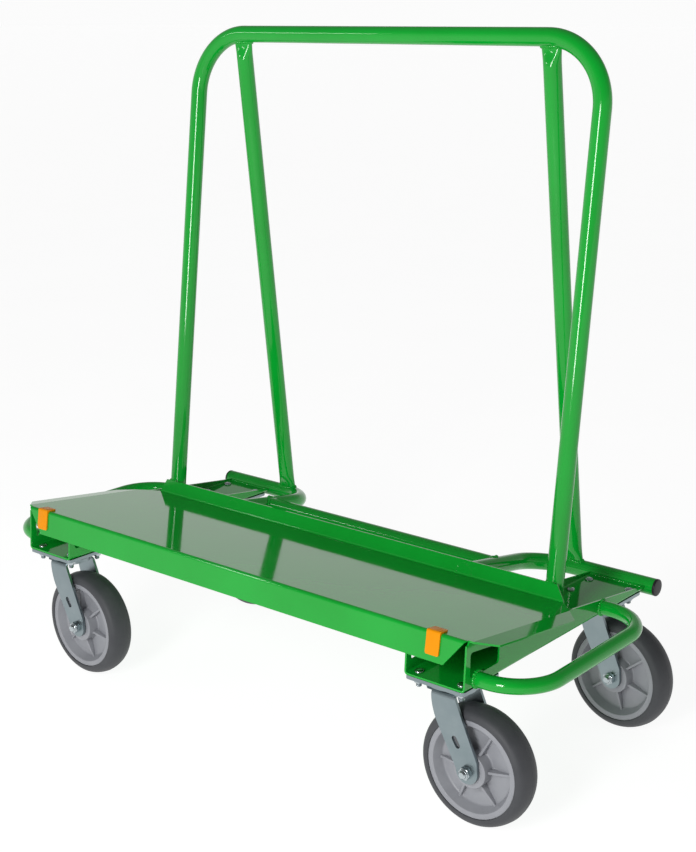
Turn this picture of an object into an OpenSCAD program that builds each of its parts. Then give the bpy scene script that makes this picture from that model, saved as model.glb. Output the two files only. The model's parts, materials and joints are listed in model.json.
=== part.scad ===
// Drywall cart: a sloped steel deck on two end channels, a leaning push frame held by two rear braces,
// looped side handles and four swivel casters.
// X runs along the deck, Y from the loading side to the rear, Z up from the floor.

/* [Overall] */
// Depth over the edge clips and the rear tubes
overall_depth = 602; // [590:1:614]
// How far every cut runs past the solid it opens
overrun = 2; // [1:0.5:4]

/* [Deck] */
// Length of the deck over its two end strips
deck_length = 1108; // [1090:1:1130]
// Width of the deck along its slope, from the front edge to the rear lip
deck_run = 327; // [316:1:334]
// Height of the deck's front edge above the floor
deck_front_z = 327; // [322:1:333]
// Fall of the deck toward the rear
deck_slope = 7.7; // [6.5:0.1:8.5]
// Thickness of the deck sheet
sheet_t = 3; // [2.5:0.1:3.5]
// Inside radius of the deck's bends
sheet_bend_r = 3; // [2:0.5:5]
// Height of the front skirt along its face
skirt_h = 48; // [40:1:56]
// Amount each end of the skirt is cut back at its lower edge
skirt_end_cut = 38; // [20:1:50]
// Height of the rear lip above the deck
lip_h = 28; // [22:1:34]
// Amount each end of the lip is cut back at its upper edge
lip_end_cut = 17; // [8:1:24]
// Size of the front corner cut
front_cut = 38.5; // [32:0.5:44]
// Size of the rear corner cut along the deck
rear_cut_x = 62.5; // [52:0.5:70]
// Size of the rear corner cut across the deck
rear_cut_run = 68; // [50:1:80]
// Width of the strip that is bent down along each deck end
strip_w = 30; // [20:1:34]
// Angle of the end strips below the deck
strip_drop = 6; // [3:0.5:9]

/* [End channels] */
// Distance from the middle of the deck to the middle of a channel
channel_x = 459; // [450:0.5:462]
// Width of a channel over its legs
channel_w = 116; // [114:0.5:118]
// Height of the channel web's underside above the floor
web_z = 241.3; // [238:0.1:244]
// Thickness of the channel sheet
channel_t = 3.2; // [2.6:0.1:4]
// Inside radius of the channel's bends
channel_bend_r = 3; // [2:0.5:5]
// Forward lean of the channel's front end
channel_lean = 3.5; // [0:0.5:6]
// Distance from the deck's front edge to the window in the channel legs
window_front = 12; // [10:0.5:20]
// Length of the window in the channel legs
window_len = 80; // [50:1:90]
// Height of the window's lower edge above the web's underside
window_floor = 20.5; // [18:0.5:30]
// Material left above the window
window_cover = 18; // [14:1:22]
// Corner radius of the window
window_r = 6; // [3:0.5:8]

/* [Push frame] */
// Outside diameter of the frame, brace and rear tubes
tube_d = 31.75; // [30:0.25:33.5]
// Wall thickness of these tubes
tube_wall = 2.1; // [1.5:0.1:3]
// Distance between the two upright legs
frame_width = 919; // [905:1:930]
// Height of the top rail's middle above the floor
frame_top_z = 1210; // [1150:1:1260]
// Backward lean of the frame
back_lean = 6.5; // [5:0.1:7.5]
// Bend radius of the frame's upper corners
frame_bend_r = 114.3; // [100:0.1:125]
// Distance from the middle to the foot of a brace
brace_foot_x = 360; // [352:1:372]
// Distance from the middle to the top of a brace
brace_top_x = 350; // [340:1:356]
// Width of a brace's pressed end
press_w = 40; // [36:0.5:42]
// Thickness of a brace's pressed end
press_t = 17; // [15:0.5:22]
// Length of a brace's pressed end
press_len = 32; // [24:1:50]

/* [Rear tubes] */
// Height of the rear tube's capped end above the floor
rear_tube_z = 244; // [241:0.5:247]
// Distance from the middle to the capped end of a rear tube
rear_tube_end_x = 531; // [524:1:545]
// Distance from the middle to the forward branch of a rear tube
loop_x = 283; // [275:1:290]
// Bend radius of a rear tube
loop_bend_r = 85; // [70:1:92]
// Rise of the forward branch toward the deck
loop_rise = 10; // [9:0.1:11]
// Distance from the rear tube forward to the cross tube
cross_forward = 149; // [135:1:165]
// Share of the tube radius at which a saddle cut is squared off
saddle_share = 0.4; // [0.3:0.05:0.5]

/* [Side handles] */
// Outside diameter of the handle tube
handle_d = 25.4; // [25:0.1:26.5]
// Wall thickness of the handle tube
handle_wall = 2; // [1.5:0.1:3]
// Distance from the middle to the grip of a handle
handle_x = 614.5; // [606:0.5:622]
// Height of the handle's middle above the floor
handle_z = 254.5; // [254.2:0.1:257]
// Distance from the deck's front edge to the handle's front branch
handle_front = 32; // [28:0.5:36]
// Distance between the two branches of a handle
handle_span = 379; // [365:1:395]
// Bend radius of a handle
handle_bend_r = 82; // [65:1:88]

/* [End caps and edge clips] */
// Thickness of an end cap outside its tube
cap_t = 5; // [3:0.5:7]
// Length of the cap's plug inside its tube
cap_plug = 14; // [8:1:20]
// Edge radius of an end cap
cap_edge_r = 2; // [1:0.5:3]
// Gap between a cap's plug and its tube
plug_gap = 0.15; // [0.05:0.05:0.3]
// Width of an edge clip
clip_w = 26; // [22:1:30]
// Thickness of an edge clip
clip_t = 3; // [2:0.5:4]
// Length of a clip's straight front leg
clip_drop = 31; // [28:1:35]
// Length of a clip's straight top leg
clip_flap = 13.5; // [10:0.5:18]
// Distance from the middle to the right clip
clip_right_x = 457; // [440:1:460]
// Distance from the middle to the left clip
clip_left_x = 472; // [440:1:474]

/* [Caster mounting plates] */
// Distance from the deck's front edge to the front swivel axes
caster_front = 47.5; // [46:0.5:56]
// Distance from the deck's front edge to the rear swivel axes
caster_rear = 502; // [486:1:506]
// Length of a mounting plate along the deck
plate_x = 114.3; // [112:0.1:115]
// Length of a mounting plate across the deck
plate_y = 101.6; // [98:0.1:104]
// Thickness of a mounting plate
plate_t = 6.35; // [5:0.05:7]
// Corner radius of a mounting plate
plate_corner_r = 8; // [4:0.5:10]
// Bolt spacing along the deck
bolt_span_x = 83; // [78:0.5:83]
// Bolt spacing across the deck
bolt_span_y = 65; // [62:0.5:72]
// Diameter of a mounting bolt
bolt_d = 9.5; // [8:0.1:10]
// Gap around a bolt in its hole
bolt_gap = 0.2; // [0.1:0.05:0.4]
// Diameter of a bolt's round head
bolt_head_d = 16; // [14:0.5:18]
// Height of a bolt's round head
bolt_head_h = 4.5; // [4:0.5:6]
// Length of bolt that stands out of its nut
bolt_tail = 2.5; // [1.5:0.5:3]
// Width across the flats of a mounting nut
nut_flat = 14.3; // [13:0.1:15]
// Height of a mounting nut
nut_h = 8; // [6:0.5:8.5]

/* [Swivels] */
// Diameter of a swivel ball
ball_d = 8; // [7.5:0.1:8.4]
// Radius of the ball circle
ball_ring_r = 27; // [26:0.5:28]
// Number of balls in a swivel
ball_count = 14; // [10:1:16]
// Gap between a ball and the race it moves over
race_clear = 0.3; // [0.25:0.05:0.5]
// Gap between a ball and the race that carries it
seat_clear = 0.05; // [0.02:0.01:0.1]
// Inner radius of the plate's race ring
race_in_r = 20; // [19:0.5:21]
// Outer radius of the plate's race ring
race_out_r = 34; // [33:0.5:36]
// Height of the plate's race ring
race_h = 6; // [5.5:0.1:6.5]
// Height between the race ring and the fork crown
race_gap = 2; // [1.5:0.1:2.5]
// Depth of the ball centres below the plate
ball_drop = 6.9; // [6.7:0.1:7.2]
// Diameter of the kingpin
kingpin_d = 19; // [16:0.5:22]
// Running gap around the kingpin
kingpin_gap = 0.05; // [0.02:0.01:0.1]
// Diameter of the kingpin's head
kingpin_head_d = 30; // [26:0.5:34]
// Height of the kingpin's head
kingpin_head_h = 8; // [6:0.5:9]
// Gap between the kingpin's head and the crown
kingpin_lift = 0.3; // [0.25:0.05:0.5]
// Resting turn of the front left swivel
rest_front_left = -2; // [-20:1:20]
// Resting turn of the front right swivel
rest_front_right = 0; // [-20:1:20]
// Resting turn of the rear left swivel
rest_rear_left = -1; // [-20:1:20]
// Resting turn of the rear right swivel
rest_rear_right = -5; // [-20:1:20]

/* [Forks] */
// Distance from the swivel axis to the axle
caster_lead = 55; // [50:0.5:60]
// Radius of the fork crown
crown_r = 41; // [39:0.5:42]
// Thickness of the fork crown
crown_t = 6.5; // [6:0.1:7]
// Distance between the inner faces of the fork legs
fork_inner = 60; // [58.5:0.1:62]
// Thickness of the fork legs
fork_t = 5; // [4:0.5:6]
// Inside radius where the legs leave the crown
fork_bend_r = 3; // [2:0.5:4]
// Radius of the rounded lower end of a leg
fork_tip_r = 20; // [17:0.5:24]
// Reach of a leg's top on the side away from the axle
fork_top_near = 16; // [12:0.5:20]
// Reach of a leg's top on the axle side
fork_top_far = 29; // [26:0.5:34]
// Reach of a leg's heel on the side away from the axle
fork_heel_near = 14; // [10:0.5:18]
// Height of a leg's heel above the axle
fork_heel_up = 88; // [80:1:95]
// Reach of a leg's knee on the axle side
fork_knee_far = 44; // [42:0.5:46]
// Height of a leg's knee above the axle
fork_knee_up = 85; // [78:1:92]
// Reach of a leg's hip on the axle side
fork_hip_far = 73.5; // [71:0.5:75]
// Height of a leg's hip above the axle
fork_hip_up = 21; // [18:1:26]
// Length of the slot in a leg
slot_len = 21; // [14:1:24]
// Width of the slot in a leg
slot_w = 7.5; // [5:0.5:8]
// Distance from the swivel axis to the slot
slot_x = 33.5; // [30:0.5:36]
// Height of the slot above the axle
slot_up = 45; // [40:1:50]
// Angle of the slot from level
slot_slant = 57; // [50:1:65]

/* [Axles] */
// Diameter of the axle bolt
axle_d = 12.7; // [12:0.1:13]
// Gap around the axle bolt
axle_gap = 0.05; // [0.02:0.01:0.1]
// Width across the flats of the axle nut and head
axle_flat = 19; // [18:0.5:20]
// Height of the axle nut
axle_nut_h = 11; // [9:0.5:12]
// Height of the axle bolt's head
axle_head_h = 8; // [6:0.5:9]
// Length of axle bolt that stands out of its nut
axle_tail = 3.5; // [2:0.5:5]
// Outside diameter of the axle sleeve
sleeve_d = 19.05; // [18:0.05:20]
// Running gap between the sleeve and the roller bearing
bearing_gap = 0.06; // [0.02:0.01:0.1]
// Outside diameter of the roller bearing
bearing_d = 30; // [27:0.5:32]

/* [Wheels] */
// Diameter of a wheel
wheel_d = 203.2; // [200:0.1:206]
// Width of a tyre
tyre_w = 50.8; // [48:0.1:52]
// Radius of the tread's curve across the tyre
tread_r = 40; // [36:0.5:46]
// Corner radius of the tyre's shoulders
shoulder_r = 4; // [2:0.5:5]
// Diameter of the wheel hub where the tyre meets it
hub_d = 165.4; // [162:0.1:168]
// Width of the hub's rim
rim_w = 47.6; // [45:0.1:48]
// Inner diameter of the rim's face
rim_in_d = 142; // [138:1:146]
// Diameter at which the dished wall meets the web
dish_d = 126; // [118:1:130]
// Thickness of the hub's web
hub_web_t = 12; // [10:0.5:14]
// Diameter of the hub's boss
boss_d = 60; // [54:1:62]
// Length of the hub's boss
boss_len = 55.6; // [54:0.1:56]
// Thickness of a hub rib
rib_t = 4.5; // [3:0.5:6]
// Number of ribs on each side of a hub
rib_count = 6; // [5:1:8]
// Depth of the ribs below the rim's face, at the boss
rib_inset = 4; // [2:0.5:6]
// Depth of the ribs below the rim's face, at the rim
rib_end_inset = 13; // [6:0.5:15]
// Resting turn of the front left wheel
turn_front_left = 17; // [-30:1:30]
// Resting turn of the front right wheel
turn_front_right = -11; // [-30:1:30]
// Resting turn of the rear left wheel
turn_rear_left = 15; // [-30:1:30]
// Resting turn of the rear right wheel
turn_rear_right = 21; // [-30:1:30]

/* [Hidden] */
$fn = 96;

green = [0.06, 0.56, 0.16];
orange = [0.95, 0.58, 0.04];
black = [0.10, 0.09, 0.10];
zinc = [0.62, 0.66, 0.67];
steel = [0.50, 0.51, 0.53];
hub_grey = [0.56, 0.56, 0.59];
tyre_grey = [0.27, 0.28, 0.30];

tube_r = tube_d / 2;
bore_r = tube_r - tube_wall;
reach = deck_length;

// Front edge and rear lip of the deck
sheet_out_r = sheet_bend_r + sheet_t;
clip_low = clip_drop + sheet_out_r;
front_y = clip_t * cos(deck_slope) + clip_low * sin(deck_slope) - overall_depth / 2;
rear_y = overall_depth / 2 - tube_r;
crease_x = deck_length / 2 - strip_w;
front_half = deck_length / 2 - front_cut;
lip_half = deck_length / 2 - rear_cut_x;

// Level and line of a point given along and above the deck
function deck_y(along, up) = front_y + along * cos(deck_slope) + up * sin(deck_slope);
function deck_z(along, up) = deck_front_z - along * sin(deck_slope) + up * cos(deck_slope);

// Top of the lip's back face, where the frame touches it
lip_back = deck_run + sheet_t;
touch_y = deck_y(lip_back, lip_h);
touch_z = deck_z(lip_back, lip_h);

// Channel
web_top = web_z + channel_t;
channel_out = channel_x + channel_w / 2;

// Push frame, measured from the lip along its lean
rail_up = (frame_top_z - touch_z + tube_r * sin(back_lean)) / cos(back_lean);
foot_up = (web_top - touch_z + tube_r * sin(back_lean)) / cos(back_lean);
rail_y = touch_y + rail_up * sin(back_lean) + tube_r * cos(back_lean);

// Cross tube on the line of the forward branches
cross_y = rear_y - cross_forward;
cross_z = rear_tube_z + cross_forward * tan(loop_rise);

// Casters
swivel_front_y = front_y + caster_front;
swivel_rear_y = front_y + caster_rear;
plate_z = web_z - plate_t;
ball_z = plate_z - ball_drop;
crown_top = plate_z - race_h - race_gap;
crown_low = crown_top - crown_t;
axle_z = wheel_d / 2;
fork_w = fork_inner + 2 * fork_t;
axle_r = axle_d / 2;
flat_to_r = 1 / cos(30);
press_sides = 32;

// Each corner's side, swivel line, resting swivel turn and resting wheel turn
front_left = [-1, swivel_front_y, rest_front_left, turn_front_left];
front_right = [1, swivel_front_y, rest_front_right, turn_front_right];
rear_left = [-1, swivel_rear_y, rest_rear_left, turn_rear_left];
rear_right = [1, swivel_rear_y, rest_rear_right, turn_rear_right];

// Places a child in the sloped plane of the deck, at its front edge
module on_deck() {
    translate([0, front_y, deck_front_z]) rotate([-deck_slope, 0, 0]) children();
}

// Places a child in the plane of a channel's front end
module on_channel_front() {
    translate([0, deck_y(sheet_t, -sheet_t), deck_z(sheet_t, -sheet_t)])
        rotate([-channel_lean, 0, 0]) children();
}

// Places a child in the leaning plane of the push frame, where it touches the lip
module on_frame() {
    translate([0, touch_y, touch_z]) rotate([-back_lean, 0, 0]) children();
}

// Draws a child and its mirror image on the other end of the cart
module both_ends() {
    children();
    mirror([1, 0, 0]) children();
}

// Flat strip with one square bend: a leg along X and a tail down, from the bend's centre
module bent_strip(inner, thick, leg, tail) {
    outer = inner + thick;
    difference() {
        union() {
            circle(r = outer);
            square([leg, outer]);
            translate([-outer, -tail]) square([outer, tail]);
        }
        circle(r = inner);
        translate([0, -outer - tail]) square([leg + overrun, outer + tail + inner]);
        translate([-inner, -outer - tail]) square([inner + overrun, outer + tail]);
    }
}

// Side view of the deck sheet with its skirt and lip
module deck_section() {
    leg = deck_run / 2;
    translate([sheet_out_r, -sheet_out_r]) bent_strip(sheet_bend_r, sheet_t, leg, skirt_h - sheet_out_r);
    translate([deck_run - sheet_bend_r, sheet_bend_r]) rotate(180)
        bent_strip(sheet_bend_r, sheet_t, leg, lip_h - sheet_bend_r);
}

// Everything that is cut away at one end of the deck
module deck_end_cut() {
    far = deck_length / 2 + front_cut;
    // front corner
    translate([0, 0, -skirt_h]) linear_extrude(skirt_h + lip_h)
        polygon([
            [front_half, 0],
            [far, far - front_half],
            [far, -skirt_h],
            [front_half, -skirt_h]
        ]);
    // slanted end of the skirt
    translate([0, sheet_out_r + sheet_t, 0]) rotate([90, 0, 0])
        linear_extrude(skirt_h)
            polygon([
                [front_half, 0],
                [far, 0],
                [far, -2 * skirt_h],
                [front_half - 2 * skirt_end_cut, -2 * skirt_h]
            ]);
    // rear corner
    translate([0, 0, -skirt_h]) linear_extrude(skirt_h + 2 * lip_h)
        polygon([
            [lip_half, deck_run],
            [lip_half, deck_run + skirt_h],
            [far, deck_run + skirt_h],
            [far, deck_run - (far - lip_half) * rear_cut_run / rear_cut_x]
        ]);
    // slanted end of the lip
    translate([0, deck_run + skirt_h, 0]) rotate([90, 0, 0])
        linear_extrude(2 * skirt_h)
            polygon([
                [lip_half, 0],
                [far, 0],
                [far, 2 * lip_h],
                [lip_half - 2 * lip_end_cut, 2 * lip_h]
            ]);
}

// Formed deck sheet
module deck_plate() {
    color(green) on_deck() difference() {
        union() {
            rotate([90, 0, 90]) linear_extrude(2 * crease_x, center = true) deck_section();
            both_ends() translate([crease_x, 0, 0]) rotate([0, strip_drop, 0])
                translate([0, 0, -sheet_t]) cube([strip_w / cos(strip_drop), deck_run, sheet_t]);
        }
        both_ends() deck_end_cut();
    }
}

// Straight-sided shape with rounded corners, from the centres of its corner circles
module round_shape(centres, radius) {
    count = len(centres);
    polygon(centres);
    for (i = [0 : count - 1]) {
        a = centres[i];
        b = centres[(i + 1) % count];
        run = norm(b - a);
        out = [b[1] - a[1], a[0] - b[0]] * radius / run;
        translate(a) circle(r = radius);
        polygon([a, a + out, b + out, b]);
    }
}

// End view of a channel: a web with two upright legs
module channel_section() {
    out_r = channel_bend_r + channel_t;
    tall = deck_front_z - web_z;
    difference() {
        channel_outline(channel_w, tall, out_r);
        translate([0, channel_t]) channel_outline(channel_w - 2 * channel_t, tall, channel_bend_r);
    }
}

// Upright block with rounded lower corners
module channel_outline(wide, tall, radius) {
    translate([radius - wide / 2, 0]) square([wide - 2 * radius, tall]);
    translate([-wide / 2, radius]) square([wide, tall - radius]);
    translate([radius - wide / 2, radius]) circle(r = radius);
    translate([wide / 2 - radius, radius]) circle(r = radius);
}

// Side view of the window through both channel legs
module window_shape() {
    y0 = front_y + window_front + window_r;
    y1 = y0 + window_len - 2 * window_r;
    low = web_z + window_floor + window_r;
    cover = sheet_t + window_cover + window_r;
    round_shape([
        [y0, low],
        [y1, low],
        [y1, deck_front_z - cover - (y1 - front_y) * tan(deck_slope)],
        [y0, deck_front_z - cover - (y0 - front_y) * tan(deck_slope)]
    ], window_r);
}

// Positions of the four bolts of one mounting plate
module at_bolts() {
    for (sx = [-1, 1])
        for (sy = [-1, 1])
            translate([sx * bolt_span_x / 2, sy * bolt_span_y / 2, 0]) children();
}

// Formed channel under one end of the deck
module channel() {
    color(green) difference() {
        translate([channel_x, rear_y, web_z]) rotate([90, 0, 0])
            linear_extrude(overall_depth) channel_section();
        on_deck() translate([0, -reach, -sheet_t]) cube([reach, 3 * reach, reach]);
        on_channel_front() {
            translate([0, -reach, -reach]) cube([reach, reach, 2 * reach]);
            rotate([0, 90, 0]) cylinder(h = reach, r = sheet_out_r);
        }
        translate([0, rear_y, rear_tube_z]) rotate([0, 90, 0]) cylinder(h = reach, r = tube_r);
        translate([channel_x, 0, 0]) rotate([90, 0, 90])
            linear_extrude(channel_w + 2 * overrun, center = true) window_shape();
        for (y = [swivel_front_y, swivel_rear_y])
            translate([channel_x, y, web_z - overrun]) at_bolts()
                cylinder(h = channel_t + 2 * overrun, r = bolt_d / 2 + bolt_gap);
    }
}

// Solid rod along straight runs joined by equal bends, starting along Z and bending toward X
module rod_path(runs, radius, bend_r, turn, i = 0) {
    cylinder(h = runs[i], r = radius);
    if (i < len(runs) - 1)
        translate([bend_r, 0, runs[i]]) {
            rotate([90, 0, 180]) rotate_extrude(angle = turn) translate([bend_r, 0]) circle(r = radius);
            rotate([0, turn, 0]) translate([-bend_r, 0, 0])
                rod_path(runs, radius, bend_r, turn, i + 1);
        }
}

// Bent tube with open ends
module tube_path(runs, outer, wall, bend_r, turn) {
    last = len(runs) - 1;
    difference() {
        rod_path(runs, outer, bend_r, turn);
        translate([0, 0, -overrun])
            rod_path([for (i = [0 : last]) runs[i] + (i == 0 || i == last ? overrun : 0)],
                outer - wall, bend_r, turn);
    }
}

// Looped side handle
module handle() {
    stub = handle_x - channel_out - handle_bend_r;
    color(green) translate([channel_out, front_y + handle_front, handle_z]) rotate([90, 0, 0])
        rotate([0, 90, 0])
            tube_path([stub, handle_span - 2 * handle_bend_r, stub],
                handle_d / 2, handle_wall, handle_bend_r, 90);
}

// Runs of the push frame from one foot to the other, as straight lengths between its bends
function frame_runs(extra) = [
    rail_up - foot_up - frame_bend_r + extra,
    frame_width - 2 * frame_bend_r,
    rail_up - foot_up - frame_bend_r + extra
];

// Places a child at the left foot of the push frame
module at_frame_foot(extra) {
    on_frame() translate([-frame_width / 2, tube_r, foot_up - extra]) children();
}

// Solid form of the push frame, used to saddle the braces
module push_frame_rod() {
    at_frame_foot(0) rod_path(frame_runs(0), tube_r, frame_bend_r, 90);
}

// Upright push frame
module push_frame() {
    color(green) difference() {
        at_frame_foot(tube_r) tube_path(frame_runs(tube_r), tube_r, tube_wall, frame_bend_r, 90);
        translate([-reach, -reach, web_top - reach]) cube([2 * reach, 2 * reach, reach]);
    }
}

// Lengths of a rear tube: capped end to bend, then bend to lip
function loop_runs() = [rear_tube_end_x - loop_x - loop_bend_r, rear_y - touch_y];

// Places a child at the capped end of the right rear tube
module at_rear_end() {
    translate([rear_tube_end_x, rear_y, rear_tube_z]) rotate([90 - loop_rise, 0, 0])
        rotate([0, -90, 0]) children();
}

// Solid form of a rear tube, used to saddle its neighbours
module rear_tube_rod() {
    at_rear_end() rod_path(loop_runs(), tube_r, loop_bend_r, 90);
}

// Bent rear tube
module rear_tube() {
    color(green) difference() {
        at_rear_end() tube_path(loop_runs(), tube_r, tube_wall, loop_bend_r, 90);
        on_deck() translate([0, lip_back - reach, -reach]) cube([reach, reach, 2 * reach]);
    }
}

// Rod that is pressed from round to oval, from its round end upward
module pressed_rod(radius, wide, thick, run) {
    hull() {
        cylinder(h = overrun, r = radius, $fn = press_sides);
        for (side = [-1, 1])
            translate([0, side * (wide - thick) / 2, run - overrun])
                cylinder(h = overrun, d = thick, $fn = press_sides);
    }
}

// Straight rod with both its ends pressed, shrunk by an inset
module brace_rod(size, trim, inset) {
    round_end = tube_r + press_len;
    radius = tube_r - inset;
    run = round_end - trim;
    translate([0, 0, round_end]) cylinder(h = size - 2 * round_end, r = radius);
    for (end = [0, 1])
        translate([0, 0, end == 0 ? round_end : size - round_end]) mirror([0, 0, 1 - end])
            pressed_rod(radius, press_w - 2 * inset, press_t - 2 * inset, run);
}

// Rear brace from the rear tube up to the top rail
module brace() {
    foot = [brace_foot_x, rear_y, rear_tube_z];
    head = [brace_top_x, rail_y, frame_top_z];
    way = head - foot;
    size = norm(way);
    trim = tube_r * saddle_share;
    color(green) difference() {
        translate(foot) rotate([0, acos(way[2] / size), atan2(way[1], way[0])]) difference() {
            brace_rod(size, trim, 0);
            brace_rod(size, trim - overrun, tube_wall);
        }
        rear_tube_rod();
        push_frame_rod();
    }
}

// Straight tube between the two rear tubes
module cross_tube() {
    half = loop_x - tube_r * saddle_share;
    color(green) difference() {
        translate([0, cross_y, cross_z]) rotate([0, 90, 0]) difference() {
            cylinder(h = 2 * half, r = tube_r, center = true);
            cylinder(h = 2 * loop_x, r = bore_r, center = true);
        }
        both_ends() rear_tube_rod();
    }
}

// Plastic caps in the open ends of the rear tubes
module end_caps() {
    plug_r = bore_r - plug_gap;
    color(black) both_ends() translate([rear_tube_end_x, rear_y, rear_tube_z]) rotate([0, 90, 0]) {
        rotate_extrude() {
            square([tube_r - cap_edge_r, cap_t]);
            square([tube_r, cap_t - cap_edge_r]);
            translate([tube_r - cap_edge_r, cap_t - cap_edge_r]) intersection() {
                circle(r = cap_edge_r);
                square([cap_edge_r, cap_edge_r]);
            }
        }
        translate([0, 0, -cap_plug]) cylinder(h = cap_plug, r = plug_r);
    }
}

// Side view of an edge clip around the deck's front bend
module clip_section() {
    translate([sheet_out_r, -sheet_out_r]) bent_strip(sheet_out_r, clip_t, clip_flap, clip_drop);
}

// Plastic clips over the front edge of the deck
module edge_clips() {
    color(orange) for (x = [-clip_left_x, clip_right_x])
        on_deck() translate([x, 0, 0]) rotate([90, 0, 90])
            linear_extrude(clip_w, center = true) clip_section();
}

// Places a child on all four swivel axes
module at_casters() {
    for (x = [-channel_x, channel_x])
        for (y = [swivel_front_y, swivel_rear_y])
            translate([x, y, 0]) children();
}

// Round-headed bolts that hold the mounting plates
module caster_bolts() {
    shank = channel_t + plate_t + nut_h + bolt_tail;
    head_r = bolt_head_d / 2;
    dome_r = (head_r * head_r + bolt_head_h * bolt_head_h) / (2 * bolt_head_h);
    color(zinc) at_casters() at_bolts() translate([0, 0, web_top]) {
        rotate_extrude() intersection() {
            translate([0, bolt_head_h - dome_r]) circle(r = dome_r);
            square([head_r, bolt_head_h]);
        }
        translate([0, 0, -shank]) cylinder(h = shank, r = bolt_d / 2);
    }
}

// Hexagon nuts under the mounting plates
module caster_nuts() {
    color(zinc) at_casters() at_bolts() translate([0, 0, plate_z - nut_h]) difference() {
        cylinder(h = nut_h, r = nut_flat / 2 * flat_to_r, $fn = 6);
        translate([0, 0, -overrun]) cylinder(h = nut_h + 2 * overrun, r = bolt_d / 2);
    }
}

// Places a child on one corner's mounting plate
module on_corner(corner) {
    translate([corner[0] * channel_x, corner[1], 0]) children();
}

// Places a child on one swivel, turned to its rest
module on_swivel(corner) {
    on_corner(corner) rotate([0, 0, corner[2]]) children();
}

// Places a child on one axle
module on_axle(corner) {
    on_swivel(corner) translate([caster_lead, 0, axle_z]) rotate([90, 0, 0]) children();
}

// Places a child on one wheel, turned to its rest
module on_wheel(corner) {
    on_axle(corner) rotate([0, 0, -corner[3]]) children();
}

// Ring groove for the swivel balls
module ball_groove(clear) {
    translate([0, 0, ball_z]) rotate_extrude() translate([ball_ring_r, 0]) circle(d = ball_d + 2 * clear);
}

// Mounting plate with its pressed race ring
module mounting_plate() {
    px = plate_x / 2 - plate_corner_r;
    py = plate_y / 2 - plate_corner_r;
    color(zinc) difference() {
        union() {
            translate([0, 0, plate_z]) linear_extrude(plate_t)
                round_shape([[-px, -py], [px, -py], [px, py], [-px, py]], plate_corner_r);
            translate([0, 0, plate_z - race_h]) cylinder(h = race_h + plate_t / 2, r = race_out_r);
        }
        translate([0, 0, plate_z - race_h - overrun]) cylinder(h = race_h + overrun, r = race_in_r);
        translate([0, 0, plate_z - overrun]) cylinder(h = plate_t + 2 * overrun, r = kingpin_d / 2);
        translate([0, 0, plate_z - overrun]) at_bolts()
            cylinder(h = plate_t + 2 * overrun, r = bolt_d / 2 + bolt_gap);
        ball_groove(race_clear);
    }
}

// Kingpin riveted into the mounting plate
module kingpin() {
    low = crown_low - kingpin_lift;
    color(zinc) {
        translate([0, 0, low]) cylinder(h = web_z - low, r = kingpin_d / 2);
        translate([0, 0, low - kingpin_head_h]) cylinder(h = kingpin_head_h, r = kingpin_head_d / 2);
    }
}

// Balls between the plate and the fork crown
module swivel_balls() {
    color(steel) for (i = [0 : ball_count - 1])
        rotate([0, 0, i * 360 / ball_count]) translate([ball_ring_r, 0, ball_z]) sphere(d = ball_d);
}

// End view of the fork: a crown with two legs
module fork_section() {
    rotate(180) difference() {
        translate([0, -crown_top]) channel_outline(fork_w, crown_top, fork_bend_r + fork_t);
        translate([0, -crown_low]) channel_outline(fork_inner, crown_top, fork_bend_r);
    }
}

// Side view of a fork leg
module fork_side() {
    polygon([
        [-fork_top_near, crown_low],
        [-fork_heel_near, axle_z + fork_heel_up],
        [caster_lead - fork_tip_r, axle_z],
        [caster_lead + fork_tip_r, axle_z],
        [fork_hip_far, axle_z + fork_hip_up],
        [fork_knee_far, axle_z + fork_knee_up],
        [fork_top_far, crown_low]
    ]);
    translate([caster_lead, axle_z]) circle(r = fork_tip_r);
}

// Slot in a fork leg
module fork_slot() {
    half = (slot_len - slot_w) / 2;
    translate([slot_x, axle_z + slot_up]) rotate(-slot_slant) {
        square([2 * half, slot_w], center = true);
        for (side = [-1, 1]) translate([side * half, 0]) circle(d = slot_w);
    }
}

// Swivel fork
module fork() {
    color(zinc) difference() {
        intersection() {
            rotate([90, 0, 90]) linear_extrude(4 * crown_r, center = true) fork_section();
            union() {
                translate([0, 0, crown_low]) cylinder(h = crown_t, r = crown_r);
                rotate([90, 0, 0]) linear_extrude(fork_w, center = true) fork_side();
            }
        }
        translate([0, 0, crown_low - overrun])
            cylinder(h = crown_t + 2 * overrun, r = kingpin_d / 2 + kingpin_gap);
        ball_groove(seat_clear);
        translate([caster_lead, 0, axle_z]) rotate([90, 0, 0])
            cylinder(h = fork_w + 2 * overrun, r = axle_r + axle_gap, center = true);
        rotate([90, 0, 0]) linear_extrude(fork_w + 2 * overrun, center = true) fork_slot();
    }
}

// Axle bolt with its head on the rear side
module axle_bolt() {
    color(zinc) {
        translate([0, 0, -fork_w / 2]) cylinder(h = fork_w + axle_nut_h + axle_tail, r = axle_r);
        translate([0, 0, -fork_w / 2 - axle_head_h])
            cylinder(h = axle_head_h, r = axle_flat / 2 * flat_to_r, $fn = 6);
    }
}

// Axle nut on the front side
module axle_nut() {
    color(zinc) translate([0, 0, fork_w / 2]) difference() {
        cylinder(h = axle_nut_h, r = axle_flat / 2 * flat_to_r, $fn = 6);
        translate([0, 0, -overrun]) cylinder(h = axle_nut_h + 2 * overrun, r = axle_r);
    }
}

// Sleeve clamped between the fork legs
module axle_sleeve() {
    color(steel) difference() {
        cylinder(h = fork_inner, r = sleeve_d / 2, center = true);
        cylinder(h = fork_inner + 2 * overrun, r = axle_r + axle_gap, center = true);
    }
}

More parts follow.
